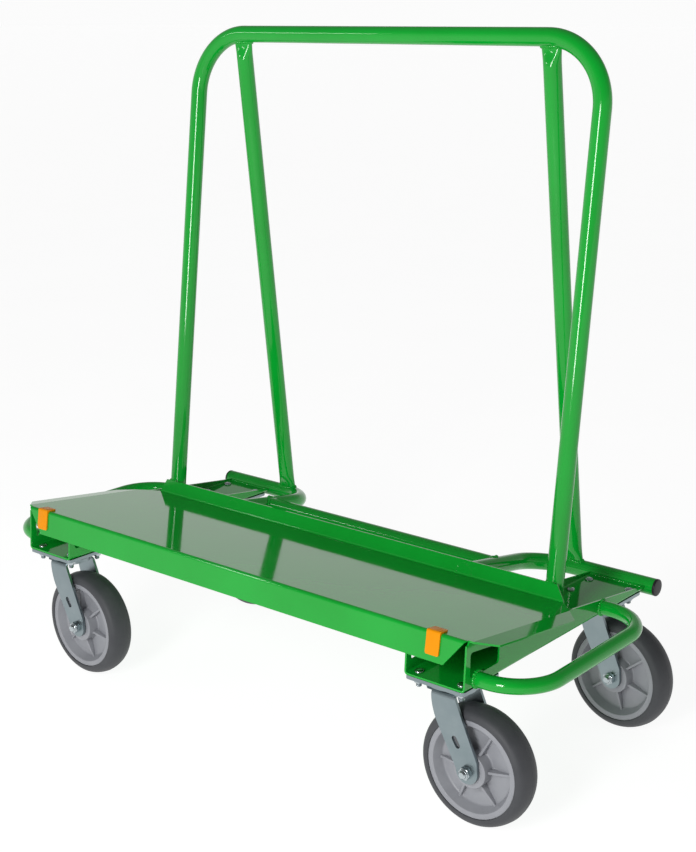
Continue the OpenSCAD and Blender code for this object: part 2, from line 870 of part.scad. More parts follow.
// Roller bearing pressed into the hub
module roller_bearing() {
    color(steel) difference() {
        cylinder(h = boss_len, r = bearing_d / 2, center = true);
        cylinder(h = boss_len + 2 * overrun, r = sleeve_d / 2 + bearing_gap, center = true);
    }
}

// Half of the hub's section, from its middle plane outward
module hub_section() {
    polygon([
        [bearing_d / 2, 0],
        [hub_d / 2, 0],
        [hub_d / 2, rim_w / 2],
        [rim_in_d / 2, rim_w / 2],
        [dish_d / 2, hub_web_t / 2],
        [boss_d / 2, hub_web_t / 2],
        [boss_d / 2, boss_len / 2],
        [bearing_d / 2, boss_len / 2]
    ]);
}

// Rib between the boss and the rim
module hub_rib() {
    near = rim_w / 2 - rib_inset;
    far = rim_w / 2 - rib_end_inset;
    root = (bearing_d + boss_d) / 4;
    tip = (rim_in_d + hub_d) / 4;
    rotate([90, 0, 0]) linear_extrude(rib_t, center = true)
        polygon([
            [root, -near],
            [boss_d / 2, -near],
            [dish_d / 2, -far],
            [tip, -far],
            [tip, far],
            [dish_d / 2, far],
            [boss_d / 2, near],
            [root, near]
        ]);
}

// Moulded wheel hub with ribs on both sides
module hub() {
    color(hub_grey) {
        rotate_extrude() {
            hub_section();
            mirror([0, 1]) hub_section();
        }
        for (i = [0 : rib_count - 1]) rotate([0, 0, i * 360 / rib_count]) hub_rib();
    }
}

// Half of the tyre's section, with a rounded shoulder
module tyre_section() {
    core = wheel_d / 2 - tread_r;
    side = tyre_w / 2 - shoulder_r;
    slant = asin(side / (tread_r - shoulder_r));
    mid = (slant + 90) / 2;
    far = 2 * shoulder_r;
    round_x = core + (tread_r - shoulder_r) * cos(slant);
    difference() {
        intersection() {
            translate([hub_d / 2, 0]) square([wheel_d, tyre_w / 2]);
            translate([core, 0]) circle(r = tread_r);
        }
        translate([round_x, side]) polygon([
            [0, 0],
            [far * cos(slant), far * sin(slant)],
            [far * cos(mid), far * sin(mid)],
            [0, far]
        ]);
    }
    translate([round_x, side]) circle(r = shoulder_r);
}

// Tyre with a curved tread
module tyre() {
    color(tyre_grey) rotate_extrude() {
        tyre_section();
        mirror([0, 1]) tyre_section();
    }
}

deck_plate();
mirror([1, 0, 0]) channel();  // channel_left
channel();  // channel_right
mirror([1, 0, 0]) handle();  // handle_left
handle();  // handle_right
push_frame();
mirror([1, 0, 0]) brace();  // brace_left
brace();  // brace_right
mirror([1, 0, 0]) rear_tube();  // rear_tube_left
rear_tube();  // rear_tube_right
cross_tube();
end_caps();
edge_clips();
caster_bolts();
caster_nuts();
on_corner(front_left) mounting_plate();  // plate_front_left
on_corner(front_right) mounting_plate();  // plate_front_right
on_corner(rear_left) mounting_plate();  // plate_rear_left
on_corner(rear_right) mounting_plate();  // plate_rear_right
on_corner(front_left) kingpin();  // kingpin_front_left
on_corner(front_right) kingpin();  // kingpin_front_right
on_corner(rear_left) kingpin();  // kingpin_rear_left
on_corner(rear_right) kingpin();  // kingpin_rear_right
on_swivel(front_left) swivel_balls();  // balls_front_left
on_swivel(front_right) swivel_balls();  // balls_front_right
on_swivel(rear_left) swivel_balls();  // balls_rear_left
on_swivel(rear_right) swivel_balls();  // balls_rear_right
on_swivel(front_left) fork();  // fork_front_left
on_swivel(front_right) fork();  // fork_front_right
on_swivel(rear_left) fork();  // fork_rear_left
on_swivel(rear_right) fork();  // fork_rear_right
on_axle(front_left) axle_bolt();  // axle_bolt_front_left
on_axle(front_right) axle_bolt();  // axle_bolt_front_right
on_axle(rear_left) axle_bolt();  // axle_bolt_rear_left
on_axle(rear_right) axle_bolt();  // axle_bolt_rear_right
on_axle(front_left) axle_nut();  // axle_nut_front_left
on_axle(front_right) axle_nut();  // axle_nut_front_right
on_axle(rear_left) axle_nut();  // axle_nut_rear_left
on_axle(rear_right) axle_nut();  // axle_nut_rear_right
on_axle(front_left) axle_sleeve();  // sleeve_front_left
on_axle(front_right) axle_sleeve();  // sleeve_front_right
on_axle(rear_left) axle_sleeve();  // sleeve_rear_left
on_axle(rear_right) axle_sleeve();  // sleeve_rear_right
on_axle(front_left) roller_bearing();  // bearing_front_left
on_axle(front_right) roller_bearing();  // bearing_front_right
on_axle(rear_left) roller_bearing();  // bearing_rear_left
on_axle(rear_right) roller_bearing();  // bearing_rear_right
on_wheel(front_left) hub();  // hub_front_left
on_wheel(front_right) hub();  // hub_front_right
on_wheel(rear_left) hub();  // hub_rear_left
on_wheel(rear_right) hub();  // hub_rear_right
on_wheel(front_left) tyre();  // tyre_front_left
on_wheel(front_right) tyre();  // tyre_front_right
on_wheel(rear_left) tyre();  // tyre_rear_left
on_wheel(rear_right) tyre();  // tyre_rear_right
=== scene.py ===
"""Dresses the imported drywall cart: finishes, weld beads, wheels, fasteners, floor, light and camera."""
import json
import logging
import math
from collections.abc import Callable, Sequence
from dataclasses import dataclass
from enum import Enum

import bpy
from mathutils import Matrix, Quaternion, Vector


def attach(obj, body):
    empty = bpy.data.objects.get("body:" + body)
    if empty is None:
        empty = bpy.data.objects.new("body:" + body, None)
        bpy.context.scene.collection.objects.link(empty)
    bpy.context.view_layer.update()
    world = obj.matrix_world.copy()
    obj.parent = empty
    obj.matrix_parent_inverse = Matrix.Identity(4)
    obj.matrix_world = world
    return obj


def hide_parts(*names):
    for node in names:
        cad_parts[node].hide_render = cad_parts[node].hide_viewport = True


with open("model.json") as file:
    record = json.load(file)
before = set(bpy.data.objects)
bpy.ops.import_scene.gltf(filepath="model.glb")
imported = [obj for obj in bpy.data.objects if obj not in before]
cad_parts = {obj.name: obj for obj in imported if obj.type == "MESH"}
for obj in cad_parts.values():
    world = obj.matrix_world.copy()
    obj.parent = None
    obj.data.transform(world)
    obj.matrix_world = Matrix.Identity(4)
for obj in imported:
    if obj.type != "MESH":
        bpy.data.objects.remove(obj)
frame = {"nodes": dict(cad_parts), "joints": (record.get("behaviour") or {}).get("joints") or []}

LOG = logging.getLogger("drywall_cart")
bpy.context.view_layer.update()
MM = 0.001
NOISE_SPAN = (0.3, 0.7)
ROUND_CREASE = 40.0
RIGHT_ANGLE = 90.0
Tone = tuple[float, float, float]


class Corner(Enum):
    """The four corners that carry a caster."""

    FRONT_LEFT = "front_left"
    FRONT_RIGHT = "front_right"
    REAR_LEFT = "rear_left"
    REAR_RIGHT = "rear_right"


def preset(node: bpy.types.Node, **values: object) -> None:
    """Sets a node's inputs by name, with underscores for spaces.

    Args:
        node: The node.
        values: The value of each input.
    """
    for name, value in values.items():
        node.inputs[name.replace("_", " ")].default_value = value


class Nodes:
    """A small helper that lays out the nodes of one material."""

    def __init__(self, name: str) -> None:
        """Starts an empty material with one shader.

        Args:
            name: The material's name.
        """
        self.material = bpy.data.materials.new(name)
        self.material.use_nodes = True
        self.tree = self.material.node_tree
        self.tree.nodes.clear()
        self.shader = self.tree.nodes.new("ShaderNodeBsdfPrincipled")
        output = self.tree.nodes.new("ShaderNodeOutputMaterial")
        self.join(self.shader.outputs["BSDF"], output.inputs["Surface"])
        self.place = self.tree.nodes.new("ShaderNodeTexCoord").outputs["Object"]

    def join(self, source: bpy.types.NodeSocket, target: bpy.types.NodeSocket) -> None:
        """Links one socket to another."""
        self.tree.links.new(source, target)

    def stretched(self, scale: tuple[float, float, float]) -> bpy.types.NodeSocket:
        """Stretches the piece's own coordinates.

        Args:
            scale: The factor on each axis.

        Returns:
            The stretched coordinates.
        """
        mapping = self.tree.nodes.new("ShaderNodeMapping")
        preset(mapping, Scale=scale)
        self.join(self.place, mapping.inputs["Vector"])
        return mapping.outputs["Vector"]

    def noise(self, scale: float, detail: float = 3.0, rough: float = 0.55,
              at: bpy.types.NodeSocket | None = None) -> bpy.types.NodeSocket:
        """Adds a noise pattern.

        Args:
            scale: Waves to the metre.
            detail: Octaves of finer noise.
            rough: Weight of the finer octaves.
            at: The coordinates it reads, or the piece's own.

        Returns:
            The pattern's value, from 0 to 1.
        """
        node = self.tree.nodes.new("ShaderNodeTexNoise")
        preset(node, Scale=scale, Detail=detail, Roughness=rough)
        self.join(at or self.place, node.inputs["Vector"])
        return node.outputs["Fac"]

    def ramp(self, source: bpy.types.NodeSocket, low: Tone, high: Tone,
             ends: tuple[float, float] = NOISE_SPAN) -> bpy.types.NodeSocket:
        """Maps a pattern's value to the colours between two.

        Args:
            source: The pattern.
            low: The colour where the pattern is low.
            high: The colour where the pattern is high.
            ends: The pattern's low and high values.

        Returns:
            The colour.
        """
        node = self.tree.nodes.new("ShaderNodeValToRGB")
        for element, position, tone in zip(node.color_ramp.elements, ends, (low, high)):
            element.position = position
            element.color = (*tone, 1.0)
        self.join(source, node.inputs["Fac"])
        return node.outputs["Color"]

    def span(self, source: bpy.types.NodeSocket, low: float, high: float) -> bpy.types.NodeSocket:
        """Maps a pattern's value to a range.

        Args:
            source: The pattern.
            low: The result where the pattern is low.
            high: The result where the pattern is high.

        Returns:
            The mapped value.
        """
        node = self.tree.nodes.new("ShaderNodeMapRange")
        preset(node, From_Min=NOISE_SPAN[0], From_Max=NOISE_SPAN[1], To_Min=low, To_Max=high)
        self.join(source, node.inputs["Value"])
        return node.outputs["Result"]

    def bump(self, height: bpy.types.NodeSocket, depth: float, strength: float) -> bpy.types.NodeSocket:
        """Turns a height into a bumped normal.

        Args:
            height: The height pattern.
            depth: The height of a full step, in metres.
            strength: How much of it shows.

        Returns:
            The bumped normal.
        """
        node = self.tree.nodes.new("ShaderNodeBump")
        preset(node, Strength=strength, Distance=depth)
        self.join(height, node.inputs["Height"])
        return node.outputs["Normal"]

    def feed(self, **sockets: object) -> bpy.types.Material:
        """Sets or links the shader's sockets by name, with underscores for spaces.

        Args:
            sockets: A number or colour to set, or a socket to link, for each name.

        Returns:
            The finished material.
        """
        for name, value in sockets.items():
            socket = self.shader.inputs[name.replace("_", " ")]
            if isinstance(value, bpy.types.NodeSocket):
                self.join(value, socket)
            else:
                socket.default_value = value
        return self.material


@dataclass(frozen=True)
class PowderCoat:
    """Glossy powder coat with a faint orange peel."""

    name: str
    deep: Tone
    light: Tone
    rough: tuple[float, float] = (0.06, 0.09)
    ior: float = 1.46
    cloud_scale: float = 5.0
    cloud_detail: float = 4.0
    cloud_ends: tuple[float, float] = (0.32, 0.68)
    peel_scale: float = 300.0
    peel_detail: float = 2.0
    peel_depth: float = 0.00005
    peel_strength: float = 0.25
    haze_scale: float = 14.0
    haze_detail: float = 5.0

    def material(self) -> bpy.types.Material:
        """Mixes the coat.

        Returns:
            The coat as a material.
        """
        n = Nodes(self.name)
        tone = n.ramp(n.noise(self.cloud_scale, self.cloud_detail), self.deep, self.light, self.cloud_ends)
        peel = n.bump(n.noise(self.peel_scale, self.peel_detail), self.peel_depth, self.peel_strength)
        haze = n.span(n.noise(self.haze_scale, self.haze_detail), *self.rough)
        return n.feed(Base_Color=tone, Roughness=haze, Normal=peel, IOR=self.ior)


@dataclass(frozen=True)
class Zinc:
    """Zinc plate with fine rolling lines and a faint bluish bloom."""

    name: str
    dark: Tone
    light: Tone
    rough: float
    rough_less: float = 0.03
    rough_more: float = 0.05
    bloom_scale: float = 24.0
    bloom_detail: float = 4.0
    line_scale: float = 260.0
    line_detail: float = 2.0
    line_rough: float = 0.5
    line_stretch: tuple[float, float, float] = (1.0, 1.0, 0.1)
    line_depth: float = 0.00004
    line_strength: float = 0.35

    def material(self) -> bpy.types.Material:
        """Mixes the plating.

        Returns:
            The plating as a material.
        """
        n = Nodes(self.name)
        bloom = n.noise(self.bloom_scale, self.bloom_detail)
        tone = n.ramp(bloom, self.dark, self.light)
        lines = n.noise(self.line_scale, self.line_detail, self.line_rough, n.stretched(self.line_stretch))
        grain = n.bump(lines, self.line_depth, self.line_strength)
        haze = n.span(bloom, self.rough - self.rough_less, self.rough + self.rough_more)
        return n.feed(Base_Color=tone, Roughness=haze, Normal=grain, Metallic=1.0)


@dataclass(frozen=True)
class Moulded:
    """Moulded plastic or rubber with a fine spark texture."""

    name: str
    dark: Tone
    light: Tone
    rough: float
    grain: float
    depth: float
    gloss: float = 0.5
    ior: float = 1.48
    rough_less: float = 0.05
    rough_more: float = 0.07
    cloud_scale: float = 26.0
    cloud_detail: float = 4.0
    cloud_rough: float = 0.6
    skin_detail: float = 2.0
    skin_strength: float = 0.5

    def material(self) -> bpy.types.Material:
        """Mixes the moulding's finish.

        Returns:
            The finish as a material.
        """
        n = Nodes(self.name)
        cloud = n.noise(self.cloud_scale, self.cloud_detail, self.cloud_rough)
        tone = n.ramp(cloud, self.dark, self.light)
        skin = n.bump(n.noise(self.grain, self.skin_detail), self.depth, self.skin_strength)
        haze = n.span(cloud, self.rough - self.rough_less, self.rough + self.rough_more)
        return n.feed(Base_Color=tone, Roughness=haze, Normal=skin, IOR=self.ior,
                      Specular_IOR_Level=self.gloss)


@dataclass(frozen=True)
class Finishes:
    """Every finish on the cart."""

    green: PowderCoat = PowderCoat("green_powder_coat", (0.0015, 0.275, 0.020), (0.0025, 0.315, 0.026))
    zinc: Zinc = Zinc("zinc_plate", (0.235, 0.288, 0.305), (0.285, 0.338, 0.355), 0.33)
    steel: Zinc = Zinc("bright_steel", (0.42, 0.47, 0.49), (0.50, 0.55, 0.57), 0.24)
    hub: Moulded = Moulded(
        "hub_grey_plastic", (0.218, 0.224, 0.244), (0.250, 0.257, 0.277), 0.36, 900.0, 0.00005)
    tyre: Moulded = Moulded(
        "tyre_grey_rubber", (0.045, 0.047, 0.052), (0.056, 0.058, 0.063), 0.5, 700.0, 0.00006, 0.28)
    orange: Moulded = Moulded(
        "clip_orange_plastic", (0.66, 0.225, 0.0008), (0.72, 0.255, 0.0012), 0.36, 800.0, 0.00004, 0.12)
    black: Moulded = Moulded(
        "cap_black_plastic", (0.010, 0.010, 0.011), (0.018, 0.018, 0.020), 0.42, 700.0, 0.00006, 0.3)


class Wardrobe:
    """Keeps each finish's material by its slot and dresses pieces with it."""

    def __init__(self, finishes: Finishes) -> None:
        """Makes the materials.

        Args:
            finishes: The cart's finishes.
        """
        self.by_slot = {
            "frame_green": finishes.green.material(),
            "zinc_plate": finishes.zinc.material(),
            "bright_steel": finishes.steel.material(),
            "hub_grey": finishes.hub.material(),
            "tyre_grey": finishes.tyre.material(),
            "clip_orange": finishes.orange.material(),
            "cap_black": finishes.black.material(),
        }

    def dress_node(self, node: str, slot: str) -> None:
        """Puts a slot's finish on a CAD node.

        Args:
            node: The node's name.
            slot: The finish's slot.
        """
        piece = frame["nodes"][node]
        if not piece.material_slots:
            piece.data.materials.append(None)
        for place in piece.material_slots:
            place.material = self.by_slot[slot]

    def add(self, piece: bpy.types.Object, body: str, slot: str, *nodes: str) -> None:
        """Dresses a new piece, puts it on its body and reports it.

        Args:
            piece: The new piece.
            body: The body it moves with.
            slot: The finish's slot.
            nodes: The CAD nodes that it stands for.
        """
        piece.data.materials.clear()
        piece.data.materials.append(self.by_slot[slot])
        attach(piece, body)
        if nodes:
            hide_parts(*nodes)
        LOG.info("%s on %s, %d faces", piece.name, body, len(piece.data.polygons))


@dataclass(frozen=True)
class NodeFinishes:
    """Which finish each CAD node takes."""

    frame_nodes: tuple[str, ...] = (
        "deck_plate", "channel_left", "channel_right", "handle_left", "handle_right", "push_frame",
        "brace_left", "brace_right", "rear_tube_left", "rear_tube_right", "cross_tube")
    caster_nodes: tuple[tuple[str, str], ...] = (
        ("plate", "zinc_plate"), ("kingpin", "zinc_plate"), ("balls", "bright_steel"),
        ("fork", "zinc_plate"), ("axle_bolt", "zinc_plate"), ("axle_nut", "zinc_plate"),
        ("sleeve", "bright_steel"), ("bearing", "bright_steel"), ("hub", "hub_grey"), ("tyre", "tyre_grey"))

    def dress(self, wardrobe: Wardrobe) -> None:
        """Dresses every CAD node.

        Args:
            wardrobe: The materials.
        """
        for node in self.frame_nodes:
            wardrobe.dress_node(node, "frame_green")
        wardrobe.dress_node("end_caps", "cap_black")
        wardrobe.dress_node("edge_clips", "clip_orange")
        wardrobe.dress_node("caster_bolts", "zinc_plate")
        wardrobe.dress_node("caster_nuts", "zinc_plate")
        for corner in Corner:
            for stem, slot in self.caster_nodes:
                wardrobe.dress_node(f"{stem}_{corner.value}", slot)


def spot(x: float, y: float, z: float) -> Vector:
    """Returns a place given in millimetres."""
    return Vector((x, y, z)) * MM


def about(axis: str, angle: float) -> Matrix:
    """Returns a turn about an axis of the frame, by an angle in radians."""
    return Matrix.Rotation(angle, 4, axis)


def profile_of(pairs: Sequence[tuple[float, float]]) -> list[Vector]:
    """Returns the points of a turned profile, given as radius and level in millimetres."""
    return [spot(r, 0.0, z) for r, z in pairs]


def both_sides(half: Sequence[tuple[float, float]]) -> list[tuple[float, float]]:
    """Returns a profile's upper half, followed by its mirrored lower half."""
    return [*half, *((r, -z) for r, z in reversed(half))]


def smooth_step(share: float) -> float:
    """Returns a share from 0 to 1 with a soft start and end."""
    return share * share * (3.0 - 2.0 * share)


def rounded(corners: list[Vector], radii: Sequence[float], steps: int = 6,
            closed: bool = False) -> list[Vector]:
    """Rounds the corners of a line.

    Args:
        corners: The sharp corners, in metres.
        radii: The radius at each corner, in millimetres.
        steps: Points to each rounded corner.
        closed: Whether the line comes back to its start.

    Returns:
        The points of the rounded line.
    """
    points: list[Vector] = []
    last = len(corners) - 1
    for i, corner in enumerate(corners):
        if radii[i] == 0 or (not closed and i in (0, last)):
            points.append(corner.copy())
            continue
        back = (corners[i - 1] - corner).normalized()
        ahead = (corners[(i + 1) % len(corners)] - corner).normalized()
        half = back.angle(ahead) / 2
        radius = radii[i] * MM
        middle = corner + (back + ahead).normalized() * (radius / math.sin(half))
        start = corner + back * (radius / math.tan(half)) - middle
        end = corner + ahead * (radius / math.tan(half)) - middle
        axis = start.cross(end).normalized()
        turn = start.angle(end)
        points += [middle + Quaternion(axis, turn * k / steps) @ start for k in range(steps + 1)]
    return points


def spaced(points: list[Vector], gap: float, closed: bool) -> list[Vector]:
    """Spaces points evenly along a line.

    Args:
        points: The line's own points.
        gap: The wanted distance, in metres.
        closed: Whether the line comes back to its start.

    Returns:
        The evenly spaced points.
    """
    line = points + points[:1] if closed else points
    runs = [(b - a).length for a, b in zip(line, line[1:])]
    count = max(2, round(sum(runs) / gap))
    result = []
    for k in range(count if closed else count + 1):
        left = sum(runs) * k / count
        for i, run in enumerate(runs):
            if left <= run or i == len(runs) - 1:
                result.append(line[i].lerp(line[i + 1], min(left / run, 1.0) if run else 0.0))
                break
            left -= run
    return result


class Join(Enum):
    """How one solid works on another."""

    ADD = "UNION"
    CUT = "DIFFERENCE"
    KEEP = "INTERSECT"


class Bench:
    """The hand operations that shape the pieces."""

    MERGE = 0.002 * MM
    NODE_MERGE = 0.01 * MM
    FLAT_ANGLE = math.radians(0.5)
    FLAT_WEIGHT = 100
    LEAST_SIDES = 4

    @staticmethod
    def clear() -> None:
        """Deselects everything."""
        bpy.ops.object.select_all(action="DESELECT")

    @staticmethod
    def take(piece: bpy.types.Object) -> None:
        """Selects one piece alone and makes it active.

        Args:
            piece: The piece.
        """
        Bench.clear()
        piece.select_set(True)
        bpy.context.view_layer.objects.active = piece

    @staticmethod
    def outline(name: str, points: list[Vector]) -> bpy.types.Object:
        """Draws a line by extruding one point, and stays in edit mode.

        Args:
            name: The piece's name.
            points: The line's points, in metres.

        Returns:
            The piece, with the whole line selected.
        """
        Bench.clear()
        bpy.ops.mesh.primitive_plane_add(size=MM, location=(0.0, 0.0, 0.0))
        piece = bpy.context.object
        piece.name = name
        bpy.ops.object.mode_set(mode="EDIT")
        bpy.ops.mesh.select_mode(type="VERT")
        bpy.ops.mesh.select_all(action="SELECT")
        bpy.ops.mesh.merge(type="CENTER")
        bpy.ops.transform.translate(value=points[0])
        for here, there in zip(points, points[1:]):
            bpy.ops.mesh.extrude_region_move(TRANSFORM_OT_translate={"value": there - here})
        bpy.ops.mesh.select_all(action="SELECT")
        return piece

    @staticmethod
    def close_up() -> None:
        """Merges doubles, turns faces outward and leaves edit mode."""
        bpy.ops.mesh.select_all(action="SELECT")
        bpy.ops.mesh.remove_doubles(threshold=Bench.MERGE)
        bpy.ops.mesh.normals_make_consistent(inside=False)
        bpy.ops.object.mode_set(mode="OBJECT")

    @staticmethod
    def turned(name: str, profile: list[Vector], steps: int, closed: bool = False) -> bpy.types.Object:
        """Turns a profile round the Z axis.

        Args:
            name: The piece's name.
            profile: Its points, with the radius along X.
            steps: Faces round the axis.
            closed: Whether the profile comes back to its start.

        Returns:
            The turned piece.
        """
        piece = Bench.outline(name, profile + profile[:1] if closed else profile)
        bpy.ops.mesh.spin(steps=steps, angle=math.tau, center=(0.0, 0.0, 0.0), axis=(0.0, 0.0, 1.0))
        Bench.close_up()
        return piece

    @staticmethod
    def slab(name: str, corners: list[Vector], way: Vector) -> bpy.types.Object:
        """Extrudes a closed flat outline.

        Args:
            name: The piece's name.
            corners: The outline's points.
            way: The direction and length of the extrusion.

        Returns:
            The slab.
        """
        piece = Bench.outline(name, corners + corners[:1])
        bpy.ops.mesh.remove_doubles(threshold=Bench.MERGE)
        bpy.ops.mesh.edge_face_add()
        bpy.ops.mesh.extrude_region_move(TRANSFORM_OT_translate={"value": way})
        Bench.close_up()
        return piece

    @staticmethod
    def tube(name: str, points: list[Vector], radius: float, closed: bool = False,
             swell: list[float] | None = None, sides: int = 36) -> bpy.types.Object:
        """Draws a round rod along a line.

        Args:
            name: The piece's name.
            points: The line's points.
            radius: The rod's radius, in metres.
            closed: Whether the line comes back to its start.
            swell: A factor on the radius at each point.
            sides: Faces round the rod.

        Returns:
            The rod, as a mesh.
        """
        Bench.clear()
        bpy.ops.curve.primitive_nurbs_path_add(location=(0.0, 0.0, 0.0))
        rod = bpy.context.object
        rod.name = name
        rod.data.splines.clear()
        line = rod.data.splines.new("POLY")
        line.points.add(len(points) - 1)
        for i, point in enumerate(points):
            line.points[i].co = (*point, 1.0)
            line.points[i].radius = swell[i] if swell else 1.0
        line.use_cyclic_u = closed
        rod.data.bevel_depth = radius
        rod.data.bevel_resolution = (sides - Bench.LEAST_SIDES) // 2
        rod.data.use_fill_caps = not closed
        bpy.ops.object.convert(target="MESH")
        piece = bpy.context.object
        bpy.ops.object.mode_set(mode="EDIT")
        Bench.close_up()
        return piece

    @staticmethod
    def slice_off(piece: bpy.types.Object, place: Vector, away: Vector) -> None:
        """Cuts a piece along a plane and closes the cut.

        Args:
            piece: The piece.
            place: A point of the plane.
            away: The plane's normal, on the side that is cut off.
        """
        Bench.take(piece)
        bpy.ops.object.mode_set(mode="EDIT")
        bpy.ops.mesh.select_all(action="SELECT")
        bpy.ops.mesh.bisect(plane_co=place, plane_no=away, use_fill=True, clear_outer=True)
        Bench.close_up()

    @staticmethod
    def work(piece: bpy.types.Object, tool: bpy.types.Object, how: Join) -> None:
        """Joins, cuts or trims a piece with another, which is used up.

        Args:
            piece: The piece that stays.
            tool: The solid that works on it.
            how: What the tool does.
        """
        Bench.take(piece)
        change = piece.modifiers.new("work", "BOOLEAN")
        change.operation = how.value
        change.solver = "EXACT"
        change.object = tool
        bpy.ops.object.modifier_apply(modifier=change.name)
        bpy.data.objects.remove(tool, do_unlink=True)

    @staticmethod
    def soften(piece: bpy.types.Object, width: float, segments: int = 2, angle: float = 30.0) -> None:
        """Bevels a piece's sharp edges.

        Args:
            piece: The piece.
            width: The bevel's width, in millimetres.
            segments: Faces across the bevel.
            angle: The least angle of a sharp edge, in degrees.
        """
        Bench.take(piece)
        change = piece.modifiers.new("soften", "BEVEL")
        change.width = width * MM
        change.segments = segments
        change.limit_method = "ANGLE"
        change.angle_limit = math.radians(angle)
        bpy.ops.object.modifier_apply(modifier=change.name)

    @staticmethod
    def round_edges(piece: bpy.types.Object, width: float, segments: int,
                    picked: Callable[[Vector, Vector], bool]) -> None:
        """Bevels the edges that a test picks.

        Args:
            piece: The piece.
            width: The bevel's width, in millimetres.
            segments: Faces across the bevel.
            picked: The test of an edge, given its two ends in metres.
        """
        Bench.take(piece)
        bpy.ops.object.mode_set(mode="EDIT")
        bpy.ops.mesh.select_mode(type="EDGE")
        bpy.ops.mesh.select_all(action="DESELECT")
        bpy.ops.object.mode_set(mode="OBJECT")
        for edge in piece.data.edges:
            edge.select = picked(*(piece.data.vertices[i].co for i in edge.vertices))
        bpy.ops.object.mode_set(mode="EDIT")
        bpy.ops.mesh.bevel(offset=width * MM, segments=segments, affect="EDGES")
        Bench.close_up()

    @staticmethod
    def smooth(piece: bpy.types.Object, angle: float = 32.0, flats: bool = False) -> bpy.types.Object:
        """Shades a piece smooth up to an angle.

        Args:
            piece: The piece.
            angle: The largest angle that is shaded over, in degrees.
            flats: Whether its large flat faces stay flat up to their edges.

        Returns:
            The piece.
        """
        Bench.take(piece)
        bpy.ops.object.shade_smooth_by_angle(angle=math.radians(angle))
        if flats:
            change = piece.modifiers.new("flats", "WEIGHTED_NORMAL")
            change.keep_sharp = True
            change.weight = Bench.FLAT_WEIGHT
            bpy.ops.object.modifier_apply(modifier=change.name)
        return piece

    @staticmethod
    def copied(piece: bpy.types.Object, name: str, place: Matrix) -> bpy.types.Object:
        """Copies a piece with its own mesh and sets it in place.

        Args:
            piece: The piece.
            name: The copy's name.
            place: The copy's place, which goes into its mesh.

        Returns:
            The copy.
        """
        Bench.take(piece)
        bpy.ops.object.duplicate(linked=False)
        copy = bpy.context.object
        copy.name = name
        copy.matrix_world = place
        bpy.ops.object.transform_apply(location=True, rotation=True, scale=True)
        return copy

    @staticmethod
    def joined(pieces: list[bpy.types.Object], name: str) -> bpy.types.Object:
        """Joins pieces into one.

        Args:
            pieces: The pieces.
            name: The joined piece's name.

        Returns:
            The joined piece.
        """
        Bench.take(pieces[0])
        for piece in pieces:
            piece.select_set(True)
        if len(pieces) > 1:
            bpy.ops.object.join()
        pieces[0].name = name
        return pieces[0]

    @staticmethod
    def from_node(node: str, name: str) -> bpy.types.Object:
        """Copies a CAD node's mesh, merged and with its flat faces whole.

        Args:
            node: The node.
            name: The copy's name.

        Returns:
            The copy.
        """
        Bench.clear()
        piece = bpy.data.objects.new(name, frame["nodes"][node].data.copy())
        bpy.context.collection.objects.link(piece)
        Bench.take(piece)
        bpy.ops.mesh.customdata_custom_splitnormals_clear()
        bpy.ops.object.mode_set(mode="EDIT")
        bpy.ops.mesh.select_all(action="SELECT")
        bpy.ops.mesh.remove_doubles(threshold=Bench.NODE_MERGE)
        bpy.ops.mesh.dissolve_limited(angle_limit=Bench.FLAT_ANGLE)
        bpy.ops.object.mode_set(mode="OBJECT")
        return piece

    @staticmethod
    def drop(*pieces: bpy.types.Object) -> None:
        """Throws patterns away once they are copied."""
        for piece in pieces:
            bpy.data.objects.remove(piece, do_unlink=True)


